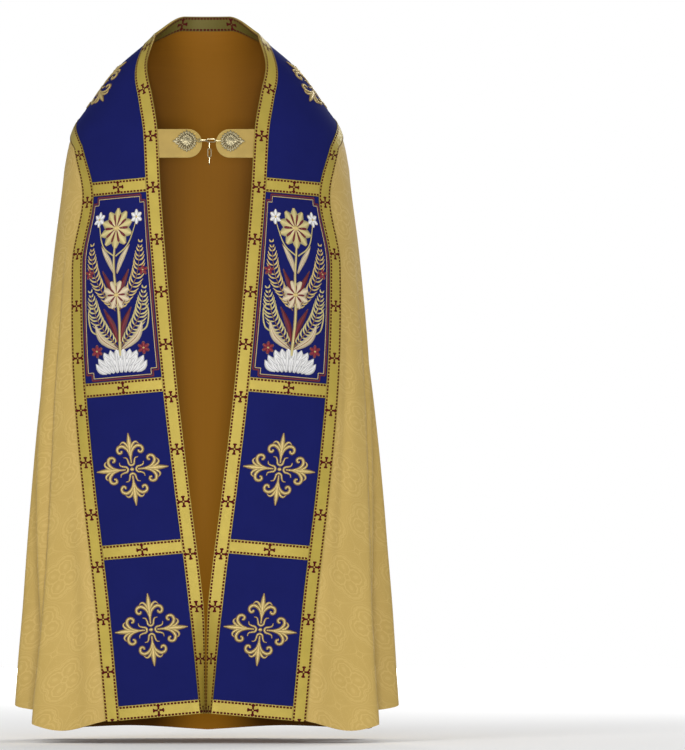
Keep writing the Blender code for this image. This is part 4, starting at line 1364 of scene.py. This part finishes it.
def stem_panel():
    """Tall flowering stem in a drawn frame, for a band's long panel."""
    made = Stitching()
    stem_frame(made, 0.0042, 0.0022, "maroon")
    stem_frame(made, 0.0080, 0.0010, "gold")
    # A heap of pale petals at the foot.
    for count, wide, tall, up in ((9, 0.056, 0.030, 0.020), (8, 0.050, 0.028, 0.032),
                                  (6, 0.036, 0.024, 0.046)):
        for share in np.linspace(-1, 1, count):
            foot = np.array([share * wide * 0.55, up - 0.004])
            tip = foot + [share * wide * 0.42, tall * (1.05 - 0.35 * abs(share))]
            leaf(made, [foot, (foot + tip) / 2 + [share * 0.003, -0.001], tip], 0.0078,
                 "white", "grey", "grey", 12)
    stem = [(0, 0.050), (0.003, 0.130), (-0.003, 0.215), (0, 0.290)]
    made.stroke(stem, [0.0050, 0.0042, 0.0036, 0.0030], "brown", 0.0010, 30)
    made.stroke(stem, [0.0034, 0.0028, 0.0024, 0.0020], "straw", 0.0012, 30, 0.0007)
    feathered(made, (0.004, 0.068), (0.062, 0.188), 0.012, 0.0100, "straw", 15)
    feathered(made, (0.004, 0.140), (0.060, 0.282), 0.014, 0.0095, "gold", 16)
    leaf_pair(made, (0.004, 0.062), (0.052, 0.118), 0.010, 0.0085, "ivory", "brown")
    leaf_pair(made, (0.003, 0.078), (0.030, 0.146), -0.005, 0.0066, "maroon", "rose")
    leaf_pair(made, (0.003, 0.150), (0.030, 0.222), -0.005, 0.0066, "maroon", "rose")
    leaf_pair(made, (0.003, 0.215), (0.034, 0.272), -0.004, 0.0060, "ivory", "brown")
    for side in (-1, 1):
        made.stroke([(side * 0.002, 0.250), (side * 0.030, 0.272), (side * 0.050, 0.318)],
                    [0.0017, 0.0015, 0.0011], "straw", 0.0010, 16, 0.0006)
        blossoms(made, (side * 0.051, 0.326), (0.0150, 6, "white", "gold", pi / 6))
        blossoms(made, (side * 0.061, 0.218), (0.0105, 5, "rose", "gold", pi / 2))
        blossoms(made, (side * 0.050, 0.062), (0.0120, 6, "rose", "gold", pi / 6))
        made.stroke([(side * 0.036, 0.092), (side * 0.060, 0.104), (side * 0.066, 0.140),
                     (side * 0.054, 0.150), (side * 0.048, 0.138)],
                    [0.0016, 0.0018, 0.0018, 0.0016, 0.0010], "straw", 0.0010, 22, 0.0006)
    blossoms(made, (0.0, 0.172), (0.0290, 8, "ivory", "gold", pi / 8),
             (0.0190, 8, "maroon", "ivory", 0.0, 0.34, "straw"),
             (0.0085, 6, "straw", "brown", 0.0))
    blossoms(made, (0.0, 0.306), (0.0400, 10, "straw", "gold", pi / 2, 0.28),
             (0.0290, 10, "maroon", "gold", pi / 2 + pi / 10, 0.28, "straw"),
             (0.0180, 8, "ivory", "maroon", pi / 2), (0.0080, 6, "rose", "gold", pi / 2))
    return made


def wreath():
    """Oval wreath of flowers and leaves round a rayed rose, about its own middle."""
    made = Stitching()
    half = np.array([0.176, 0.146])
    rays, leaves, flowers = 64, 60, 12

    def on_oval(turn):
        return half * [cos(turn), sin(turn)]

    oval = np.array([on_oval(turn) for turn in np.linspace(0, tau, 73)])
    made.stroke(oval, [0.0030, 0.0030], "brown", RIM_HEIGHT, 150)
    made.stroke(oval, [0.0022, 0.0022], "sage", 0.0011, 150, 0.0004)
    for k in range(rays):
        way = np.array([cos(tau * k / rays), sin(tau * k / rays)])
        side = np.array([-way[1], way[0]])
        reach = (0.122, 0.090, 0.104, 0.084)[k % 4]
        sway = side * (0.0022 if k % 2 else -0.0022)
        made.stroke([way * 0.060, way * (0.060 + reach) / 2 + sway, way * reach * 0.92 - sway,
                     way * reach], [0.0013, 0.0012, 0.0009, 0.0004], "straw", 0.0009, 12)
    for k in range(leaves):
        turn = tau * (k + 0.5) / leaves
        at = on_oval(turn)
        tangent = unit(half * [-sin(turn), cos(turn)])
        normal = np.array([tangent[1], -tangent[0]]) * (1 if k % 2 else -1)
        tip = at + tangent * 0.024 + normal * 0.031
        leaf(made, [at, (at + tip) / 2 + tangent * 0.006, tip], 0.0064,
             ("sage", "straw", "sage", "ivory")[k % 4], "brown", "brown", 10)
    for k in range(flowers):
        turn = tau * k / flowers + pi / flowers
        kind = ("sky", "white", "pink", "white", "flame", "white")[k % 6]
        if kind == "white":
            blossoms(made, on_oval(turn), (0.0240, 7, "white", "gold", turn, 0.34, "grey"),
                     (0.0130, 7, "white", "straw", turn + 0.4, 0.34, "grey"))
        else:
            blossoms(made, on_oval(turn), (0.0340, 9, kind, "ivory", turn, 0.30),
                     (0.0230, 9, "ivory" if kind == "sky" else kind, "brown", turn + 0.35,
                      0.30), (0.0110, 6, "straw", "brown", turn))
    blossoms(made, (0.0, 0.0), (0.070, 12, "brown", "gold", pi / 12, 0.24, "straw"),
             (0.056, 12, "gold", "gold", 0.0, 0.25),
             (0.040, 10, "white", "gold", pi / 10, 0.28, "grey"),
             (0.026, 8, "flame", "gold", pi / 8, 0.32),
             (0.013, 6, "straw", "brown", pi / 6))
    return made


# Fringe

def fringe_mesh(count):
    """Twisted strands along the hood's edge: tubes whose section is an oval that turns.

    A strand leaves the edge outwards, then falls; at share s of its length and angle a its
    radius is r (1 + 0.25 cos 2(a - turns s)).
    """
    rng = np.random.default_rng(STRAND_SEED)
    rings, sides = STRAND_RINGS, STRAND_SIDES
    path, _ = hood_outline(count, FRINGE_DROP)
    run, level, aside, up = ((path[1:] + path[:-1]) / 2).T[..., None]
    s = np.linspace(0, 1, rings)[None, :]
    jitter = rng.normal(size=(4, count, 1))
    drop = STRAND_LENGTH + 0.0016 * jitter[0]
    lean = np.clip(0.45 * aside + 0.05 * jitter[1], -0.6, 0.6)
    way_up = -1 + 0.3 * np.abs(aside)
    size = np.sqrt(lean ** 2 + way_up ** 2)
    at_run = run + aside * 0.0005 + lean / size * drop * s + 0.0012 * jitter[3] * s ** 2
    at_level = level + up * 0.0005 + way_up / size * drop * s
    out = HOOD_WALL / 2 + 0.0011 * jitter[2] * np.sqrt(s) + 0.0006
    centre, normal = hood_place(at_run, at_level, out)
    side = unit(np.cross(unit(np.gradient(centre, axis=1)), normal))
    angle = np.linspace(0, tau, sides, endpoint=False)
    twist = STRAND_TWIST * s[..., None] + rng.uniform(0, tau, (count, 1, 1))
    radius = STRAND_RADIUS * (1 + 0.25 * np.cos(2 * (angle - twist)))
    radius = radius * (1 - 0.35 * np.clip(s[..., None] * 12 - 11, 0, 1))
    round_it = (side[:, :, None] * np.cos(angle)[:, None]
                + normal[:, :, None] * np.sin(angle)[:, None])
    points = centre[:, :, None] + radius[..., None] * round_it
    index = np.arange(count * rings * sides).reshape(count, rings, sides)
    turned = np.roll(index, -1, axis=2)
    faces = np.stack([index[:, :-1], index[:, 1:], turned[:, 1:], turned[:, :-1]], -1)
    weave = paired(np.arange(sides) / sides, (drop * s)[..., None])
    after = weave + [1 / sides, 0]
    weave = np.stack([weave[:, :-1], weave[:, 1:], after[:, 1:], after[:, :-1]], -2)
    caps = []
    for row, turn in ((0, 1), (rings - 1, -1)):
        loop = index[:, row, ::turn]
        for k in range(0, sides - 2, 2):
            caps.append(loop[:, [0, k + 1, k + 2, (k + 3) % sides]])
    caps = np.concatenate(caps)
    return (points.reshape(-1, 3), np.concatenate([faces.reshape(-1, 4), caps]),
            np.concatenate([weave.reshape(-1, 4, 2), np.zeros((len(caps), 4, 2))]))


# Clasp

def tab_point(off, level):
    """Point and normal of a tab on the +X side: straight, then bent back to the front."""
    turn = turn_at(max(off, TAB_BEND), level)
    point = ring(turn, level)
    slope = ring(turn, level + RING_STEP) - ring(turn, level - RING_STEP)
    normal = outward(np.array(turn), np.array(level))
    if off < TAB_BEND:
        normal = np.array([0, -slope[2], slope[1]]) / np.hypot(slope[1], slope[2])
        point[0] = off
    return point, normal


def clasp_axes():
    """Root, upward way and outward way of the clasp's own plane."""
    point, normal = tab_point(0, CLASP_LEVEL)
    return point, np.array([0, normal[2], -normal[1]]), normal


def tab_wall(side):
    """Closed wall of a tab: rows from its round end to the front's edge."""
    sign = 1 if side == "right" else -1
    high, low = TAB_LEVELS
    round_at = TAB_END[side] * sign + TAB_ROUND
    turns = np.linspace(TAB_TIP / 2, pi / 2, 14)
    columns = [(round_at - TAB_ROUND * cos(turn), sin(turn), 0) for turn in turns]
    columns += [(round_at, 1, share) for share in np.linspace(0, 1, 16)[1:]]
    points, normals, weave = [], [], []
    for x, height, share in columns:
        for row in np.linspace(-0.5, 0.5, 13):
            level = (high + low) / 2 + (high - low) * height * row
            root = float(smooth(OPENING, "half_width", level)) + TAB_OVERLAP
            off = x + (root - x) * share
            point, normal = tab_point(off, level)
            points.append(point)
            normals.append(normal)
            weave.append((off + TAB_WEAVE, level))
    mirror = np.array([sign, 1, 1])
    points, normals = np.array(points) * mirror, np.array(normals) * mirror
    block = np.arange(len(points)).reshape(len(columns), -1)
    weave = np.array(weave).reshape(len(columns), -1, 2)
    if sign < 0:
        block, weave = block[::-1], weave[::-1]
    return walled(points, normals, [block], [weave], TAB_LAYER)


def rosette(side):
    """Pressed plate: a dome with a ring and twenty leaves, toothed edge and pointed tip.

    Height over the plate's back is a bell at the middle, a ridge at 0.60 of the radius and
    a wave of leaves between there and the edge.
    """
    turn = np.linspace(0, tau, 241)
    tip = turn - (0.0 if side == "right" else pi)
    share = np.linspace(0, 1, 21)[:, None]

    def bell(middle, reach):
        return np.exp(-((share - middle) / reach) ** 2)

    away = (tip + pi) % tau - pi
    lobes = 0.0030 * np.abs(np.cos(ROSETTE_LEAVES / 2 * tip)) ** 1.3
    upright = 0.0018 * np.exp(-((np.abs(away) - pi / 2) / 0.25) ** 2)
    rim = ROSETTE_RADIUS + lobes + upright + 0.0078 * np.exp(-(away / 0.24) ** 2)
    leaves = np.cos(ROSETTE_LEAVES * tip) * bell(0.80, 0.14)
    height = 0.0016 + 0.0021 * bell(0, 0.30) + 0.0016 * bell(0.60, 0.07) \
        + 0.0010 * leaves + 0.0006 * np.cos(9 * turn) * bell(0.38, 0.10)
    height = height * np.minimum(1, (1 - share) * 9 + 0.35)
    x = ROSETTE_AT[side] + rim * share * np.cos(turn)
    y = rim * share * np.sin(turn)
    root, lift, normal = clasp_axes()
    flat = root + x[..., None] * [1, 0, 0] + y[..., None] * lift
    base = TAB_FACE + 0.0004
    verts = np.concatenate([(flat + (base + rise)[..., None] * normal).reshape(-1, 3)
                            for rise in (height, 0 * height)])
    top = numbered(height)
    back = top + height.size
    faces = np.concatenate([quads(top)[:, ::-1], quads(back),
                            quads(np.stack([top[-1], back[-1]]))[:, ::-1]])
    weave = paired(tip / tau * ROSETTE_LEAVES, share)
    return verts, faces, np.concatenate([weave.reshape(-1, 2)] * 2)[faces]


# Pieces

# Threads of the embroidery beside the gold one, in linear light, and how metallic each is.
GOLD_METALLIC = 0.25
THREADS = {
    "straw": ((0.520, 0.440, 0.190), 0.15),
    "ivory": ((0.560, 0.460, 0.300), 0.0),
    "white": ((0.700, 0.690, 0.680), 0.0),
    "grey": ((0.330, 0.330, 0.340), 0.0),
    "maroon": ((0.115, 0.006, 0.012), 0.0),
    "rose": ((0.200, 0.012, 0.026), 0.0),
    "brown": ((0.230, 0.110, 0.040), 0.0),
    "sage": ((0.250, 0.330, 0.150), 0.0),
    "sky": ((0.220, 0.420, 0.640), 0.0),
    "pink": ((0.700, 0.330, 0.330), 0.0),
    "flame": ((0.720, 0.160, 0.050), 0.0),
}


class Build:
    """What the operators share: the cope's settings, its net and its finishes."""

    def __init__(self, settings):
        self.settings = settings
        self.net = Net()
        self.finishes = {}

    def finish(self, name, maker, *inputs):
        """Material of that name, made once."""
        if name not in self.finishes:
            self.finishes[name] = maker(*inputs)
        return self.finishes[name]

    def braid(self, kind):
        """Material of one kind of braid."""
        return self.finish(f"braid_{kind}", braid_finish, self.settings.braid, kind)

    def threads(self, *names):
        """Materials of these threads, the gold one in the colour that is set."""
        colours = {**THREADS, "gold": (self.settings.thread.gold, GOLD_METALLIC)}
        return {name: self.finish(f"thread_{name}", thread_finish, f"thread_{name}",
                                  *colours[name]) for name in names}


build = {}


def shared():
    """The build in hand, begun at the first piece."""
    if "now" not in build:
        build["now"] = Build(bpy.context.scene.cope)
    return build["now"]


def cloth(name, points, normals, blocks, weaves, layer, surface, slot, rests_on):
    """A cloth piece on blocks of a net, in place of the solid of its name, and its cut."""
    made = piece(f"{name}_cloth", *walled(points, normals, blocks, weaves, layer, SEAM_INSET),
                 surface, slot)
    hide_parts(name)


def grid_cloth(name, points, normals, weave, *finish):
    """A cloth piece on a grid of its own."""
    cloth(name, points.reshape(-1, 3), normals.reshape(-1, 3), [numbered(points)], [weave],
          *finish)


def make_body(now):
    """Lining and the five panels of figured silk, which meet in the deep folds."""
    net, settings = now.net, now.settings.cloth
    side, rear = net.seams
    rows, columns, lines = net.rows, 2 * net.columns, len(net.band)
    silk = now.finish("damask", damask_finish, settings)
    satin = now.finish("lining", lining_finish, settings)
    skirt, skirt_weave = net.skirt.T, net.skirt_weave.transpose(1, 0, 2)
    cloth("lining", net.points, net.normals, [net.band, skirt], [net.band_weave, skirt_weave],
          LINING, satin, "lining", ["body_back"])
    for name, part, first, last in (
            ("body_front_left", slice(0, rows + 1), 0, side),
            ("body_side_left", None, side, rear),
            ("body_back", slice(rows, lines - rows), rear, columns - rear),
            ("body_side_right", None, columns - rear, columns - side),
            ("body_front_right", slice(lines - rows - 1, lines), columns - side, columns)):
        blocks, weaves = [skirt[first:last + 1]], [skirt_weave[first:last + 1]]
        if part is not None:
            blocks.append(net.band[part])
            weaves.append(net.band_weave[part])
        cloth(name, net.points, net.normals, blocks, weaves, CLOTH, silk, "damask", ["lining"])


def band_rows(net):
    """Rows, from the hem, that bound each bar and the panel above it."""
    rows = [net.rows - mark for mark in net.marks[::-1]]
    bars, panels, place = [], [], 0
    for bar in BARS:
        bars.append((bar.name, rows[place], rows[place + 1]))
        place += 1 + bar.rows_above
        panels.append((bar.name, bars[-1][2], rows[place]))
    return bars, panels


def sided(grid, sign):
    """The band's grid as seen from one side: rows from that side's hem up."""
    return grid if sign < 0 else grid[::-1, ::-1]


def strip_weave(width, run):
    """Weave of a strip: distance from its own edge, and distance along it."""
    return paired(width - width.min(axis=1, keepdims=True), run[:, None])


def make_velvet(now):
    """Velvet panels between the braids, both sides' upper ones meeting behind the neck."""
    net = now.net
    velvet = now.finish("velvet", velvet_finish, now.settings.cloth)
    for side, sign in SIDES:
        band, weave = sided(net.band, sign), sided(net.band_weave, sign)
        for name, low, high in band_rows(net)[1]:
            stop = net.rows + net.columns if name == "upper" else high
            block = slice(low, stop + 1), VELVET_COLUMNS
            cloth(f"velvet_{name}_{side}", net.points, net.normals, [band[block]],
                  [weave[block]], VELVET, velvet, "velvet", [f"body_front_{side}"])


def along(net, column):
    """Distances along a line of the band, measured from the middle of the back."""
    line = net.points[net.band[:, column]]
    return centred(lengths(line), len(line) // 2), line


def phased(net, column, side, level):
    """Distances along a line of one front, from where it passes a level."""
    run, line = along(net, column)
    half = net.front(side)
    run = np.abs(run)
    return run - np.interp(-level, -line[half][:, 2], run[half])


def make_braids(now):
    """Bars, the braids on both edges of each front, the collar's and the yoke's."""
    net = now.net
    fronts, behind = slice(0, net.rows + 1), slice(net.rows, len(net.band) - net.rows)
    first, last = slice(0, BRAID_STEPS + 1), slice(-BRAID_STEPS - 1, None)
    middle = {"inner": BRAID_STEPS // 2, "outer": net.band.shape[1] - 1 - BRAID_STEPS // 2}
    edge, bar = now.braid("edge"), now.braid("bar")
    for side, sign in SIDES:
        band, width = sided(net.band, sign), sided(net.width, sign)
        run = np.abs(net.run)[::-sign]
        for name, low, high in band_rows(net)[0]:
            block = slice(low, high + 1), VELVET_COLUMNS
            over = width[block] - width[block[0]].max(axis=1, keepdims=True) / 2
            cloth(f"braid_bar_{name}_{side}", net.points, net.normals, [band[block]],
                  [paired((run[low] - run[block[0]])[:, None], over)], BRAID, bar, "braid",
                  [f"body_front_{side}"])
        for name, block in zip(("inner", "outer"), (first, last)[::-sign]):
            far = phased(net, middle[name], side, EDGE_CROSSES[name])[::-sign]
            cloth(f"braid_{name}_{side}", net.points, net.normals, [band[fronts, block]],
                  [strip_weave(width[fronts, block], far[fronts])], BRAID, edge, "braid",
                  [f"body_front_{side}"])
    for name, block, line, layer, kind, shift in (
            ("collar", first, "inner", BRAID, "edge", 0.0),
            # The braid inside the collar takes the dimmed gold: painted shade, as if in the
            # collar's shadow.
            ("collar_inside", first, "inner", COLLAR_LINING, "dull", 0.5),
            ("yoke", last, "outer", BRAID, "edge", 0.0)):
        run = along(net, middle[line])[0][behind] + shift * now.settings.braid.cross_pitch
        cloth(f"braid_{name}", net.points, net.normals, [net.band[behind, block]],
              [strip_weave(net.width[behind, block], run)], layer, now.braid(kind), "braid",
              ["body_back"])
    make_centre_braid(now)


def make_centre_braid(now):
    """Braid down the middle of the back, over the joint of the two velvet panels."""
    net = now.net
    behind = net.band[net.rows:len(net.band) - net.rows, VELVET_COLUMNS]
    at, facing = net.points[behind], net.normals[behind]
    strip = np.linspace(-0.5, 0.5, 7) * BRAID_WIDTH
    points, normals = (
        np.array([[[np.interp(x, at[:, j, 0], grid[:, j, k]) for k in range(3)]
                   for j in range(at.shape[1])] for x in strip]) for grid in (at, facing))
    down = lengths(points)
    grid_cloth("braid_centre", points, normals,
               paired(strip[:, None] + BRAID_WIDTH / 2, down - down[:, -1:] / 2), CENTRE_BRAID,
               now.braid("edge"), "braid", ["velvet_upper_left", "velvet_upper_right"])


def make_hood(now):
    """Hood of velvet, standing off the back, and the braid on its sides and bottom."""
    run, level = (grid[:, ::-1] for grid in hood_grid(HOOD_ROWS, HOOD_COLUMNS))
    grid_cloth("hood", *hood_place(run, level, 0.0), paired(run, -level),
               Layer(0.0, HOOD_WALL), now.finish("velvet", velvet_finish, now.settings.cloth),
               "velvet", ["body_back"])
    path, far = hood_outline(HOOD_EDGE_STEPS, HOOD_BRAID_DROP)
    place = np.linspace(0, HOOD_BRAID_WIDTH, 7)
    grid_cloth("braid_hood", *hood_place(*beside(path, -place), 0.0),
               paired(place, (far - far[-1] / 2)[:, None]), HOOD_BRAID, now.braid("hood"),
               "braid", ["hood"])


def make_fringe(now):
    """Bullion fringe: twisted strands that spread at the corners, under a heading."""
    settings = now.settings.thread
    thread = now.finish("fringe", fringe_finish, settings)
    made = piece("fringe_strands", *fringe_mesh(settings.strands), thread, "fringe")
    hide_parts("hood_fringe")
    path, far = hood_outline(HOOD_EDGE_STEPS, FRINGE_DROP)
    reach = np.array([0.0004, 0.0006, 0.0040, 0.0072, 0.0074])
    out = np.array([0.0, 0.0022, 0.0030, 0.0022, 0.0])
    low, normals = hood_place(*beside(path, reach), 0.0)
    grid = low + normals * out[:, None]
    index, weave = numbered(grid), paired(reach, far[:, None])
    made = piece("fringe_heading", grid.reshape(-1, 3),
                 np.concatenate([quads(index), quads(index[:, [-1, 0]])]),
                 np.concatenate([quads(weave), quads(weave[:, [-1, 0]])]),
                 now.finish("heading", heading_finish, settings), "fringe")
    edit = bmesh.new()
    edit.from_mesh(made.data)
    edit.verts.ensure_lookup_table()
    for end in (index[0], index[-1][::-1]):
        edit.faces.new([edit.verts[k] for k in end])
    bmesh.ops.recalc_face_normals(edit, faces=edit.faces)
    edit.to_mesh(made.data)
    edit.free()


def shoulder_place(sign, middle):
    """How a flat drawing lies over a shoulder's ridge, as if on an unrolled cone.

    On the cone, x runs down the ridge from the middle level and y towards the back; the
    distance from the tip gives the level, and the arc at that distance gives the turn.
    """
    levels, turns = np.linspace(*SHOULDER_LEVELS), np.linspace(*SHOULDER_TURNS)
    ridge = len(turns) // 2
    slant = lengths(ring(np.full(len(levels), pi / 2), levels))
    girth = lengths(ring(np.linspace(0, pi / 2, 60), levels[:, None]))[:, -1]
    start = np.interp(-middle, -levels, slant)
    tip = np.interp(-middle, -levels, girth / np.gradient(girth, slant))

    def place(x, y, out):
        flat, off = tip + x.ravel(), (y * sign).ravel()
        away = np.hypot(flat, off)
        level = -np.interp(start + away - tip, slant, -levels)
        arc = lengths(ring(turns, level[:, None]))
        want = arc[:, ridge] + np.arctan2(off, flat) * away
        low = np.clip((arc < want[:, None]).sum(1) - 1, 0, len(turns) - 2)
        row = np.arange(len(low))
        part = (want - arc[row, low]) / (arc[row, low + 1] - arc[row, low])
        turn = turns[low] + part * (turns[1] - turns[0])
        found = ring(turn, level) + outward(turn, level) * np.broadcast_to(
            out, x.shape).reshape(-1, 1)
        return (found * [sign, 1, 1]).reshape(*x.shape, 3)

    return place


def make_crosses(now):
    """Gold crosses: two on each front and one on each shoulder's ridge."""
    net = now.net
    reach = now.settings.thread.cross_reach
    whole = net.width[:, -1]
    for side, sign in SIDES:
        shoulder = net.run[len(net.run) // 2 + sign * net.columns]
        width = np.interp(shoulder, net.run, whole)
        ridge = net.band_place(np.array([width / 2]), np.array([shoulder]), np.zeros(1))
        gold_cross().turned(SHOULDER_TURN * sign, reach).lay(
            f"cross_shoulder_{side}", now.threads("gold", "brown"),
            shoulder_place(sign, float(ridge[0, 2]) - SHOULDER_DROP), VELVET_TOP, "braid")
        for name, level in CROSS_LEVELS.items():
            run = net.run_of(side, level)
            half = np.interp(run, net.run, whole) / 2

            def place(x, y, out):
                return net.band_place(half + x * sign, run - y * sign, out)

            gold_cross().turned(0, reach).lay(
                f"cross_{name}_{side}", now.threads("gold", "brown"), place, VELVET_TOP,
                "braid")


def make_pictures(now):
    """Flowering stem on each front's long panel, and a wreath on the hood."""
    net = now.net
    whole, shoulder = net.width[:, -1], len(net.run) // 2
    for side, sign in SIDES:
        top, bottom = (net.run[shoulder + sign * (net.columns + net.marks[row])]
                       for row in STEM_ROWS)
        scale = abs(top - bottom) / STEM_HEIGHT

        def place(x, y, out):
            run = bottom - y * scale * sign
            line = np.interp(run, net.run, whole)
            return net.band_place(
                line / 2 + x * sign * (line - 2 * BRAID_WIDTH) / PANEL_WIDTH, run, out)

        stem_panel().lay(f"stem_{side}", now.threads("gold", "straw", "ivory", "white", "grey",
                                                     "maroon", "rose", "brown"), place,
                         VELVET_TOP, "braid")

    def on_hood(x, y, out):
        return hood_place(x, y + WREATH_LEVEL, out)[0]

    wreath().lay("wreath", now.threads("gold", "straw", "ivory", "white", "grey", "brown",
                                       "sage", "sky", "pink", "flame"), on_hood, HOOD_WALL,
                 "braid")


def make_clasp(now):
    """Tabs, rosettes and the wire chain, whose links keep their own solids."""
    silk = now.finish("tab_silk", tab_finish, now.settings.cloth)
    gilt = now.finish("gilt", gilt_finish, False)
    pierced = now.finish("pierced", gilt_finish, True)
    for side, _ in SIDES:
        tab = piece(f"tab_{side}", *tab_wall(side), silk, "damask")
        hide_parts(f"clasp_tab_{side}")
        plate = piece(f"rosette_{side}", *rosette(side), pierced, "metal")
        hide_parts(f"clasp_rosette_{side}")
    for name in WIRES:
        for slot in bpy.data.objects[name].material_slots:
            slot.material = gilt


def make_stage(now):
    """Pale floor, soft lights, near-white world and a long lens square to the front."""
    settings = now.settings.stage
    scene = bpy.context.scene
    scene.view_settings.view_transform = "Standard"
    level = solid_box[0][2] - FLOOR_DROP
    mesh = bpy.data.meshes.new("floor")
    mesh.from_pydata([(x * FLOOR_REACH, y * FLOOR_REACH, level)
                      for x, y in ((-1, -1), (1, -1), (1, 1), (-1, 1))], [], [(0, 1, 2, 3)])
    pale, _, _ = paint("pale_floor", 1.0, Base_Color=(0.95, 0.95, 0.95, 1.0),
                       Specular_IOR_Level=0.0)
    mesh.materials.append(pale)
    floor = put("floor", mesh)

    world = bpy.data.worlds.new("studio")
    scene.world = world
    world.use_nodes = True
    world.node_tree.nodes.clear()
    tree = Socket(world.node_tree)
    white = (1.0, 1.0, 1.0, 1.0)
    seen, ambient = (tree.node("ShaderNodeBackground", {"Color": white, "Strength": strength})
                     for strength in (1.0, AMBIENT * settings.light))
    eye = tree.node("ShaderNodeLightPath")
    both = tree.node("ShaderNodeMixShader", {0: eye, 1: ambient, 2: seen})
    tree.node("ShaderNodeOutputWorld", {"Surface": both}, output=None)

    for lamp in LAMPS:
        light = bpy.data.lights.new(lamp.name, "AREA")
        light.shape = "SQUARE"
        light.size = lamp.width
        light.energy = lamp.power * settings.light
        made = put(lamp.name, light)
        made.location = lamp.place
        way = Vector(lamp.aim) - Vector(lamp.place)
        made.rotation_euler = way.to_track_quat("-Z", "Y").to_euler()

    camera = bpy.data.cameras.new("camera")
    camera.sensor_fit = "HORIZONTAL"
    camera.sensor_width = SENSOR_WIDTH
    camera.lens = SENSOR_WIDTH * settings.distance / (PICTURE_WIDTH * settings.pixel)
    camera.clip_end = 100.0
    view = put("camera", camera)
    view.location = (FRAME_MIDDLE[0], FRONT_PLACE - settings.distance, FRAME_MIDDLE[1])
    view.rotation_euler = (pi / 2, 0, 0)
    scene.camera = view


# Operators and panel

def step(name, label, maker):
    """Operator class that runs one group's maker."""

    def execute(self, context):
        maker(shared())
        return {"FINISHED"}

    return type(f"COPE_OT_{name}", (bpy.types.Operator,), {
        "__doc__": maker.__doc__,
        "bl_idname": f"cope.{name}",
        "bl_label": label,
        "bl_options": {"REGISTER", "UNDO"},
        "execute": execute,
    })


STEPS = (
    step("body", "Silk and lining", make_body),
    step("velvet", "Velvet panels", make_velvet),
    step("braids", "Braids", make_braids),
    step("hood", "Hood", make_hood),
    step("fringe", "Fringe", make_fringe),
    step("crosses", "Gold crosses", make_crosses),
    step("pictures", "Flower embroidery", make_pictures),
    step("clasp", "Clasp", make_clasp),
    step("stage", "Stage", make_stage),
)


class COPE_PT_panel(bpy.types.Panel):
    """The cope's operators and settings in the sidebar."""

    bl_label = "Cope finish"
    bl_idname = "COPE_PT_panel"
    bl_space_type = "VIEW_3D"
    bl_region_type = "UI"
    bl_category = "Cope"

    def draw(self, context):
        """One button for each operator, then the settings."""
        for one in STEPS:
            self.layout.operator(one.bl_idname)
        settings = context.scene.cope
        for name in ("cloth", "braid", "thread", "stage"):
            box = self.layout.box()
            group = getattr(settings, name)
            for key in type(group).__annotations__:
                box.prop(group, key)


CLASSES = (ClothSettings, BraidSettings, ThreadSettings, StageSettings, CopeSettings,
           COPE_PT_panel, *STEPS)


def register():
    """Register the classes and the scene's settings."""
    for one in CLASSES:
        bpy.utils.register_class(one)
    bpy.types.Scene.cope = PointerProperty(type=CopeSettings, name="Cope",
                                           description="Settings of the cope's finish")


def unregister():
    """Take them away again."""
    del bpy.types.Scene.cope
    for one in reversed(CLASSES):
        bpy.utils.unregister_class(one)


def main():
    """Build every group in order and write the two boxes."""
    register()
    for one in STEPS:
        group, name = one.bl_idname.split(".")
        getattr(getattr(bpy.ops, group), name)()


if __name__ == "__main__":
    main()
